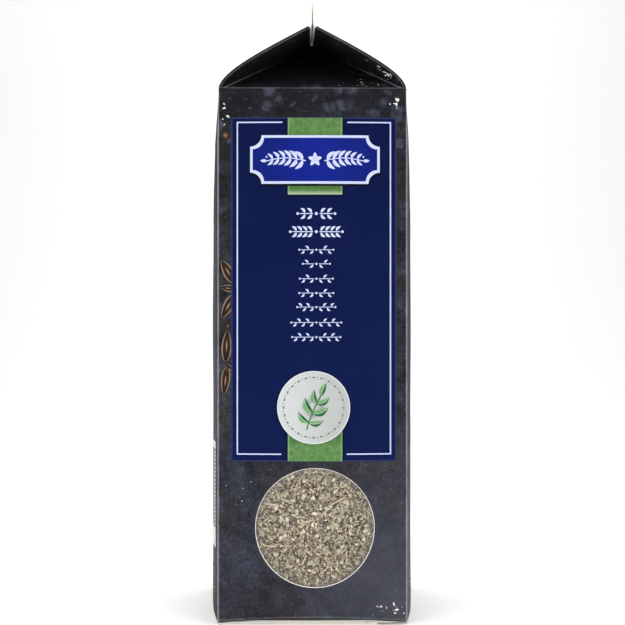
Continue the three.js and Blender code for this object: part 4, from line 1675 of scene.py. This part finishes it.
# Foot, tip and width of each pod on the front, in millimetres
FRONT_PODS = (
    (-28.9, 126.6, -33.9, 135.4, 4.3), (-28.6, 124.4, -34.2, 125.2, 2.8), (-28.9, 122.6, -33.7, 113.6, 4.2),
    (-32.2, 97.4, -31.5, 109.6, 4.1), (-31.7, 95.8, -32.9, 85.0, 3.7), (-32.0, 96.6, -28.6, 92.0, 2.6),
)


def pod(ink, foot, tip, width):
    """A printed seed pod: an open boat with pale lips, a dark inside and a seed in its middle."""
    foot, tip = Vector(foot), Vector(tip)
    across = Vector((foot.y - tip.y, tip.x - foot.x)).normalized() * width / 2
    rows, tones = [], []
    for step in range(POD_STEPS + 1):
        t = 0.02 + 0.96 * step / POD_STEPS
        reach = across * sin(pi * t ** 0.8) ** 0.75
        seed = 0.2 + 0.75 * exp(-((t - 0.5) / 0.22) ** 2)
        rows.append([tuple(foot.lerp(tip, t) + reach * lane) for lane in POD_LANES])
        tones.append([0.35, 0.85, 0.5, 0.12, seed, 0.12, 0.5, 0.85, 0.35])
    ink.grid(rows, np.array(tones))


def pod_star(ink, rng, centre, reach, arms=8):
    """Pods that spread from one centre, as a whole dried fruit."""
    turn = rng.uniform(0, pi)
    for arm in range(arms):
        angle = turn + 2 * pi * arm / arms
        way = Vector((cos(angle), sin(angle)))
        far = reach * rng.uniform(0.86, 1)
        foot, tip = Vector(centre) + way * 0.17 * reach, Vector(centre) + way * far
        pod(ink, foot, tip, 0.42 * reach)


# Middles of the whole dried fruits printed on the sides, in millimetres
SIDE_STARS = {
    "left": ((-17, 128), (13, 158), (-8, 20)),
    "right": ((15, 122), (-12, 150), (10, 34), (-20, 70)),
}
# Pale flecks on the front: middle, reach, count and largest size, in millimetres
FRONT_FLECKS = (
    ((-32.3, 190), (1.6, 7), 8, 1.1), ((31, 194), (2.6, 4.2), 6, 1.15), ((24, 5.6), (10, 3), 9, 0.9),
    ((30.4, 9), (3, 6), 8, 1.1), ((-27, 53), (5, 7), 4, 0.6),
)
# Peppercorns on the front: place and radius, in millimetres
FRONT_CORNS = ((-32.3, 181.5, 1.9), (-31.4, 110.8, 0.9))


def print_front_spices(carton, rng):
    """Flecks, peppercorns and pods on the front."""
    flecks, spices = Ink(), Ink()
    for middle, reach, count, largest in FRONT_FLECKS:
        scatter(flecks, rng, mm(*middle), mm(*reach), count, (0.35, largest))
    for u, v, size in FRONT_CORNS:
        spices.disc(u * MM, v * MM, size * MM, (0.75, 0.3))
    for foot_u, foot_v, tip_u, tip_v, width in FRONT_PODS:
        pod(spices, mm(foot_u, foot_v), mm(tip_u, tip_v), width * MM)
    surface = panel_surface(carton, "front")
    print_on("flecks_front", surface, flecks, "fleck_ink", 0)
    print_on("spices_front", surface, spices, "pod_ink", 0)


def under_crease(u, v):
    """Whether a place on the gusset lies clear of the fold-back and the shoulder."""
    return u < 30.5 * MM - 1.35 * v and v > 0.8 * MM


def print_gusset_spices(carton, rng):
    """Pale and rusty flecks in the front gusset and on the fold-back at its right."""
    gusset, gusset_rust, fold, fold_rust = Ink(), Ink(), Ink(), Ink()
    scatter(gusset, rng, mm(20, 4), mm(10, 4), 18, (0.28, 0.8), under_crease)
    scatter(gusset_rust, rng, mm(18, 6), mm(9, 4), 12, (0.4, 1.0), under_crease, 0.5)
    scatter(fold, rng, mm(3.4, 8), mm(2.4, 6), 14, (0.4, 1.1))
    scatter(fold_rust, rng, mm(3.6, 12), mm(2.6, 6), 12, (0.4, 1.1), tone=0.5)
    surface = roof_fold_surface(carton)
    print_on("flecks_gusset", gusset_surface, gusset, "fleck_ink", 1)
    print_on("rust_gusset", gusset_surface, gusset_rust, "pod_ink", 0)
    print_on("flecks_fold", surface, fold, "fleck_ink", 3)
    print_on("rust_fold", surface, fold_rust, "pod_ink", 2)


def print_roof_flecks(carton, rng):
    """Three clusters of pale flecks on each roof panel."""
    for name, side in (("left", -1), ("right", 1)):
        flecks = Ink()
        for _ in range(3):
            middle = mm(rng.uniform(-22, 22), rng.uniform(8, 26))
            scatter(flecks, rng, middle, mm(8, 5), 8, (0.3, 1.0))
        print_on(f"flecks_roof_{name}", roof_surface(carton, side), flecks, "fleck_ink", 0)


def print_wall_spices(carton, rng, panel):
    """Flecks on another wall, with peppercorns and whole dried fruits on the sides."""
    is_side = panel != "back"
    flecks, spices = Ink(), Ink()
    for _ in range(5):
        heights = (10, 22) if rng.random() < 0.5 else (150, 188)
        middle = mm(rng.uniform(-24, 24), rng.uniform(*heights))
        if not is_side:
            middle = (rng.choice((-1, 1)) * 32.4 * MM, middle[1])
        scatter(flecks, rng, middle, mm(7, 8) if is_side else mm(1.4, 6), 9, (0.3, 0.95))
        if is_side:
            spices.disc(middle[0] + 3 * MM, middle[1] - 4 * MM, rng.uniform(1.2, 2) * MM, (0.85, 0.1))
    for spot in SIDE_STARS.get(panel, ()):
        pod_star(spices, rng, mm(*spot), rng.uniform(7, 9) * MM)
    surface = panel_surface(carton, panel)
    print_on(f"flecks_{panel}", surface, flecks, "fleck_ink", 0)
    if is_side:
        print_on(f"spices_{panel}", surface, spices, "pod_ink", 0)


class CARTON_OT_scattered_print(Operator):
    """Print the strewn flecks, peppercorns and seed pods over the slate"""

    bl_idname = "carton.scattered_print"
    bl_label = "Scattered print"

    def execute(self, context):
        carton = Carton()
        rng = random.Random(PRINT_SEED)
        print_front_spices(carton, rng)
        print_gusset_spices(carton, rng)
        print_roof_flecks(carton, rng)
        for panel in ("left", "right", "back"):
            print_wall_spices(carton, rng, panel)
        return {"FINISHED"}


class CARTON_OT_film(Operator):
    """Build the clear film behind the round window"""

    bl_idname = "carton.film"
    bl_label = "Window film"

    def execute(self, context):
        carton = Carton()
        xs = spread(FILM_LOW.x, FILM_HIGH.x, FILM_STEP)
        zs = spread(FILM_LOW.z, FILM_HIGH.z, FILM_STEP)
        along, heights = (grid.ravel() for grid in np.meshgrid(xs, zs))
        outer, inner = (carton.wall("front", along, heights, depth) for depth in FILM_DEPTH)
        points, faces, _ = closed_sheet(outer, inner, grid_faces(len(zs), len(xs)))
        piece = add_piece("window_sheet", points, faces, [film_material()])
        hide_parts("window_film")
        return {"FINISHED"}


class Bit:
    """Where a loose bit of sage lies, and which way it points, taken from its CAD node."""

    def __init__(self, node):
        points = np.array([tuple(vertex.co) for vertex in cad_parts[node].data.vertices])
        middle = (points.min(0) + points.max(0)) / 2
        _, axes = np.linalg.eigh(np.cov((points - middle).T))
        self.axes = axes.T[::-1]
        flat = (points - middle) @ self.axes.T
        low, high = flat.min(0), flat.max(0)
        self.centre = middle + (low + high) / 2 @ self.axes
        self.half = (high - low) / 2

    def place(self, points):
        """Points given along the bit's length, width and thickness, put where it lies."""
        return self.centre + np.asarray(points) @ self.axes


def bits_named(prefix):
    """Every CAD node of this kind, in order."""
    return {name: Bit(name) for name in sorted(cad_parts) if name.startswith(prefix)}


STEM_RINGS = 14
STEM_SIDES = 16


def stem_shape(bit, number):
    """Points, faces and fibre tones of a stem: squarish, bent, and frayed at both ends."""
    rng = random.Random(STEM_SEED + number)
    bend = rng.uniform(-0.3, 0.3)
    fray = [[rng.uniform(0, 0.16) for _ in range(STEM_SIDES)] for _ in range(2)]
    fibre = [rng.random() for _ in range(STEM_SIDES)]
    points = []
    for ring in range(STEM_RINGS):
        t = -1 + 2 * ring / (STEM_RINGS - 1)
        for side in range(STEM_SIDES):
            angle = 2 * pi * side / STEM_SIDES
            square = (cos(angle) ** 4 + sin(angle) ** 4) ** -0.25
            reach = 0.84 * square * (1 - 0.12 * fibre[side]) * (1 + 0.07 * sin(5 * t + number))
            end = fray[0][side] * max(0, -t) ** 6 - fray[1][side] * max(0, t) ** 6
            across = reach * cos(angle) + bend * (1 - t * t) - bend / 2
            points.append((t + end, across, reach * sin(angle)))
    points += [(-0.8, 0, 0), (0.8, 0, 0)]
    count = STEM_RINGS * STEM_SIDES
    faces = ring_faces(STEM_RINGS, STEM_SIDES) + fan(count, 0, STEM_SIDES)
    faces += fan(count + 1, count - STEM_SIDES, STEM_SIDES, flip=True)
    return bit.place(points * bit.half), faces, fibre * STEM_RINGS + [0.9, 0.9]


class CARTON_OT_stems(Operator):
    """Build the torn pieces of stem: squarish, fluted and frayed at their ends"""

    bl_idname = "carton.stems"
    bl_label = "Stem pieces"

    def execute(self, context):
        material = stem_material()
        for number, (node, bit) in enumerate(bits_named("stem_bit").items(), 1):
            points, faces, fibres = stem_shape(bit, number)
            name, fields = f"torn_stem_{number:02d}", {"fibre": fibres}
            piece = add_piece(name, points, faces, [material], fields=fields)
            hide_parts(node)
        return {"FINISHED"}


FLAKE_RINGS = 7
FLAKE_SIDES = 26
FLAKE_HALF = 0.22


def flake_shape(bit, number):
    """Points, faces and stored values of a flake: lobed, curled and pebbled, with a midrib and veins."""
    rng = random.Random(FLAKE_SEED + number)
    lobes = [rng.uniform(-1, 1) for _ in range(4)]
    ragged = [rng.uniform(-0.09, 0.03) for _ in range(FLAKE_SIDES)]
    curl, twist, tone = rng.uniform(-0.5, 0.5), rng.uniform(-0.4, 0.4), rng.uniform(0.2, 0.8)
    points, veins, tones = [], [], []
    for ring in range(FLAKE_RINGS + 1):
        share = ring / FLAKE_RINGS
        for side in range(FLAKE_SIDES if ring else 1):
            angle = 2 * pi * side / FLAKE_SIDES
            edge = 0.9 + 0.06 * lobes[0] * cos(2 * angle) + 0.06 * lobes[1] * sin(3 * angle)
            edge += 0.05 * lobes[2] * cos(5 * angle) + ragged[side] * share ** 3
            a, b = share * edge * cos(angle), share * edge * sin(angle)
            rib = exp(-(b / 0.12) ** 2) + 0.5 * exp(-((abs(b) - 0.8 * a % 0.5) / 0.07) ** 2)
            pebble = noise.noise(Vector((4.2 * a + number, 4.2 * b, 0)))
            height = 0.34 * (curl * (a * a - 0.4) + twist * a * b * 2) + 0.14 * pebble + 0.06 * rib
            points.append((a, b, height))
            veins.append(min(1.0, rib))
            tones.append(tone + 0.25 * pebble - 0.2 * share ** 4)
    faces = fan(0, 1, FLAKE_SIDES)
    faces += [tuple(corner + 1 for corner in face) for face in ring_faces(FLAKE_RINGS, FLAKE_SIDES)]
    outer = bit.place((np.array(points) + (0, 0, FLAKE_HALF)) * bit.half)
    inner = bit.place((np.array(points) - (0, 0, FLAKE_HALF)) * bit.half)
    points, faces, _ = closed_sheet(outer, inner, faces)
    return points, faces, {"vein": veins * 2, "tone": tones * 2}


class CARTON_OT_flakes(Operator):
    """Build the torn leaf flakes: thin, pebbled and curled, with ragged outlines"""

    bl_idname = "carton.flakes"
    bl_label = "Leaf flakes"

    def execute(self, context):
        material = flake_material()
        for number, (node, bit) in enumerate(bits_named("leaf_flake").items(), 1):
            points, faces, fields = flake_shape(bit, number)
            name = f"torn_leaf_{number:02d}"
            piece = add_piece(name, points, faces, [material], fields=fields)
            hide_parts(node)
        return {"FINISHED"}


# A crumb has two tips and a rim between them. UNCOVERED is a depth that no bit has
UNCOVERED = -1.0
CRUMB_SIDES = 6
CRUMB_POINTS = CRUMB_SIDES + 2
CRUMB_FACES = fan(0, 2, CRUMB_SIDES) + fan(1, 2, CRUMB_SIDES, flip=True)


def random_turns(rng, count):
    """Evenly spread random rotations, one matrix each."""
    w, x, y, z = rng.normal(size=(4, count))
    size = np.sqrt(w * w + x * x + y * y + z * z)
    w, x, y, z = w / size, x / size, y / size, z / size
    return np.array([
        [1 - 2 * (y * y + z * z), 2 * (x * y - z * w), 2 * (x * z + y * w)],
        [2 * (x * y + z * w), 1 - 2 * (x * x + z * z), 2 * (y * z - x * w)],
        [2 * (x * z - y * w), 2 * (y * z + x * w), 1 - 2 * (x * x + y * y)],
    ]).transpose(2, 0, 1)


def crumb_map(mesh, count):
    """Gives each crumb a cell of its own, with its two halves side by side."""
    across = ceil(sqrt(count))
    corners = np.empty(len(mesh.loops), int)
    mesh.loops.foreach_get("vertex_index", corners)
    starts = np.empty(len(mesh.polygons), int)
    mesh.polygons.foreach_get("loop_start", starts)
    faces = np.searchsorted(starts, np.arange(len(mesh.loops)), side="right") - 1
    crumb, corner = divmod(corners, CRUMB_POINTS)
    half = (faces % len(CRUMB_FACES)) // CRUMB_SIDES
    angle = 2 * pi * (corner - 2) / CRUMB_SIDES
    rim = corner >= 2
    u = (crumb % across + 0.26 + 0.48 * half + np.where(rim, 0.2 * np.cos(angle), 0)) / across
    v = (crumb // across + 0.5 + np.where(rim, 0.42 * np.sin(angle), 0)) / across
    mesh.uv_layers.new(name="OFBake").data.foreach_set("uv", np.stack([u, v], -1).ravel())


def hidden_behind(bits, spots):
    """How deep the crumbs must start at these places so that they lie behind the stems and flakes."""
    depth = np.full(len(spots), UNCOVERED)
    for bit in bits:
        reach = bit.half[1] + 0.25 * MM
        for t in spread(-1, 1, 0.2):
            point = bit.place([(bit.half[0] * t, 0, 0)])[0]
            near = np.hypot(spots[:, 0] - point[0], spots[:, 2] - point[2]) < reach
            depth[near] = np.maximum(depth[near], point[1])
    return depth


def crumb_shapes(rng, size):
    """Points of each crumb round its own middle, flattened and turned at random."""
    count = len(size)
    squash = [np.ones(count), rng.uniform(0.32, 0.9, count), rng.uniform(0.2, 0.5, count)]
    shifts = rng.uniform(-0.25, 0.25, (count, CRUMB_SIDES))
    angles = 2 * np.pi * (np.arange(CRUMB_SIDES) + shifts) / CRUMB_SIDES
    reach = rng.uniform(0.7, 1.15, angles.shape)
    rim = [reach * np.cos(angles), reach * np.sin(angles), rng.uniform(-0.3, 0.3, angles.shape)]
    tips = np.zeros((count, 2, 3))
    tips[:, 0, 2], tips[:, 1, 2] = 1, -1
    points = np.concatenate([tips, np.stack(rim, -1)], 1)
    points = points * np.stack(squash, -1)[:, None] * size[:, None, None]
    return np.einsum("nij,nkj->nki", random_turns(rng, count), points)


def crumb_places(carton, rng, shapes, bits, layer):
    """Each crumb's middle behind the film and the bits, and how deep it lies, as a share of the layer."""
    count = len(shapes)
    nearest = shapes[..., 1].min(1)
    turn, out = 2 * np.pi * rng.random(count), CRUMB_REACH * np.sqrt(rng.random(count))
    x, z = WINDOW_X + out * np.cos(turn), WINDOW_Z + out * np.sin(turn)
    deep = rng.random(count) ** 0.8
    middle = carton.wall("front", x, z, FILM_DEPTH[1] + CRUMB_GAP - nearest + deep * layer)
    behind = hidden_behind(bits, middle)
    covered = behind > UNCOVERED
    middle[covered, 1] = np.maximum(middle[covered, 1], behind[covered] - nearest[covered])
    return middle, deep


class CARTON_OT_crumbs(Operator):
    """Strew the thousands of small crumbs that lie against the film"""

    bl_idname = "carton.crumbs"
    bl_label = "Crumbs"

    def execute(self, context):
        carton = Carton()
        look = bpy.context.scene.sage_look
        material = crumb_material()
        bits = [*bits_named("stem_bit").values(), *bits_named("leaf_flake").values()]
        count = look.crumbs // CRUMB_GROUPS
        faces = [
            tuple(crumb * CRUMB_POINTS + corner for corner in face)
            for crumb in range(count) for face in CRUMB_FACES
        ]
        for group in range(CRUMB_GROUPS):
            rng = np.random.default_rng(CRUMB_SEED + group)
            size = look.smallest + (look.largest - look.smallest) * rng.random(count) ** 3
            shapes = crumb_shapes(rng, size)
            middle, deep = crumb_places(carton, rng, shapes, bits, look.layer)
            points = (middle[:, None] + shapes).reshape(-1, 3)
            # Each crumb's tone is random and lighter for larger crumbs, and it is lowered as painted shade
            # the deeper the crumb lies.
            tone = rng.beta(2.4, 2.1, count) + 0.25 * (size / look.largest - 0.3) - 0.18 * deep
            stored = {"tone": np.clip(tone, 0, 1), "hue": rng.random(count)}
            fields = {name: np.repeat(values, CRUMB_POINTS) for name, values in stored.items()}
            name = f"crumbs_{group + 1}"
            piece = add_piece(name, points, faces, [material], fields=fields, sharp=30)
            crumb_map(piece.data, count)
        return {"FINISHED"}


class CARTON_OT_fill(Operator):
    """Give the settled body of sage its crumbly finish"""

    bl_idname = "carton.fill"
    bl_label = "Settled sage"

    def execute(self, context):
        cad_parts["sage_fill"].material_slots[0].material = fill_material()
        return {"FINISHED"}


# Camera: what it is turned round, its sensor in millimetres and its nearest distance
CAMERA_PIVOT = (0.0, -35 * MM)
SENSOR_WIDTH = 36
CLIP_START = 0.01

# Softboxes: name, place, size, the property that holds the power, and aim
CARTON_MIDDLE = (0, 0, 0.11)
SOFTBOXES = (
    ("softbox_left", (-0.75, -0.5, 0.35), 0.7, "side_power", CARTON_MIDDLE),
    ("softbox_right", (0.75, -0.5, 0.35), 0.7, "side_power", CARTON_MIDDLE),
    ("softbox_top", (0, -0.1, 1.1), 0.9, "top_power", CARTON_MIDDLE),
    ("backdrop_light", (0, 0.45, 1.3), 1.2, "back_power", (0, 1.2, 0.2)),
)

# Floor: its front edge, where it bends up, the bend's radius, its top and half its width
FLOOR_FRONT = -3.0
FLOOR_BEND = 1.0
FLOOR_RADIUS = 0.6
FLOOR_TOP = 3.0
FLOOR_HALF = 4


class CARTON_OT_stage(Operator):
    """Set up the pale floor, the soft lights, the surrounding light and the level camera"""

    bl_idname = "carton.stage"
    bl_label = "Stage"

    def execute(self, context):
        look = bpy.context.scene.stage_look
        self.camera(look)
        self.floor(look)
        for name, spot, size, power, aim in SOFTBOXES:
            self.softbox(name, spot, size, getattr(look, power), aim)
        world = bpy.data.worlds.new("world")
        world.use_nodes = True
        background = world.node_tree.nodes["Background"]
        background.inputs["Color"].default_value = (1, 1, 1, 1)
        background.inputs["Strength"].default_value = look.world
        bpy.context.scene.world = world
        bpy.context.scene.view_settings.view_transform = "Standard"
        return {"FINISHED"}

    @staticmethod
    def camera(look):
        """A level camera, turned a little round the middle of the front panel."""
        data = bpy.data.cameras.new("camera")
        data.lens = look.lens
        data.sensor_width = SENSOR_WIDTH
        data.clip_start = CLIP_START
        camera = add_object("camera", data)
        pivot, turn = CAMERA_PIVOT, look.camera_turn
        reach = look.camera_distance + pivot[1]
        camera.location = (
            pivot[0] - reach * sin(turn), pivot[1] - reach * cos(turn), look.camera_height
        )
        camera.rotation_euler = (pi / 2, 0, -turn)
        bpy.context.scene.camera = camera

    @staticmethod
    def floor(look):
        """A floor that curves up into a backdrop behind the carton."""
        shader = Shader("stage_floor")
        cloud = shader.noise(0.3, 2)
        shade = shader.mix(0.15 * cloud, look.floor, srgb(238, 238, 238))
        material = shader.finish(shade, 0.75 + 0.1 * cloud)
        profile = [(FLOOR_FRONT, 0.0), (FLOOR_BEND, 0.0)]
        for angle in np.linspace(0.1, pi / 2, 10):
            profile.append(round_from(FLOOR_BEND, FLOOR_RADIUS, FLOOR_RADIUS, angle - pi / 2))
        profile.append((FLOOR_BEND + FLOOR_RADIUS, FLOOR_TOP))
        xs = np.linspace(-FLOOR_HALF, FLOOR_HALF, 9)
        mesh = bpy.data.meshes.new("stage_floor")
        mesh.from_pydata([(x, y, z) for y, z in profile for x in xs], [], grid_faces(len(profile), len(xs)))
        mesh.materials.append(material)
        mesh.shade_smooth()
        floor = add_object("stage_floor", mesh)

    @staticmethod
    def softbox(name, spot, size, power, aim):
        """A square softbox aimed at a point."""
        data = bpy.data.lights.new(name, "AREA")
        data.size = size
        data.energy = power
        lamp = add_object(name, data)
        lamp.location = spot
        lamp.rotation_euler = (Vector(aim) - Vector(spot)).to_track_quat("-Z", "Y").to_euler()


OPERATORS = (
    CARTON_OT_stage, CARTON_OT_walls, CARTON_OT_roof, CARTON_OT_foot, CARTON_OT_label, CARTON_OT_ribbon,
    CARTON_OT_plaque, CARTON_OT_leaf_rows, CARTON_OT_seal, CARTON_OT_side_panel, CARTON_OT_scattered_print,
    CARTON_OT_film, CARTON_OT_stems, CARTON_OT_flakes, CARTON_OT_crumbs, CARTON_OT_fill,
)


class CARTON_PT_parts(Panel):
    """Every part of the carton, in the order it is built"""

    bl_idname = "CARTON_PT_parts"
    bl_label = "Carton"
    bl_space_type = "VIEW_3D"
    bl_region_type = "UI"
    bl_category = "Carton"

    def draw(self, context):
        for operator in OPERATORS:
            self.layout.operator(operator.bl_idname)


GROUPS = {
    "carton_sizes": CartonSizes, "label_sizes": LabelSizes, "print_colours": PrintColours,
    "sage_look": SageLook, "stage_look": StageLook,
}


def register():
    """Registers the groups of properties, the operators and the panel."""
    for name, group in GROUPS.items():
        bpy.utils.register_class(group)
        setattr(bpy.types.Scene, name, PointerProperty(type=group))
    for made in (*OPERATORS, CARTON_PT_parts):
        bpy.utils.register_class(made)


def unregister():
    """Takes back what register adds."""
    for made in reversed((*OPERATORS, CARTON_PT_parts)):
        bpy.utils.unregister_class(made)
    for name, group in reversed(GROUPS.items()):
        delattr(bpy.types.Scene, name)
        bpy.utils.unregister_class(group)


def main():
    """Builds every part."""
    register()
    for operator in OPERATORS:
        getattr(bpy.ops.carton, operator.bl_idname.split(".")[1])()


if __name__ == "__main__":
    main()
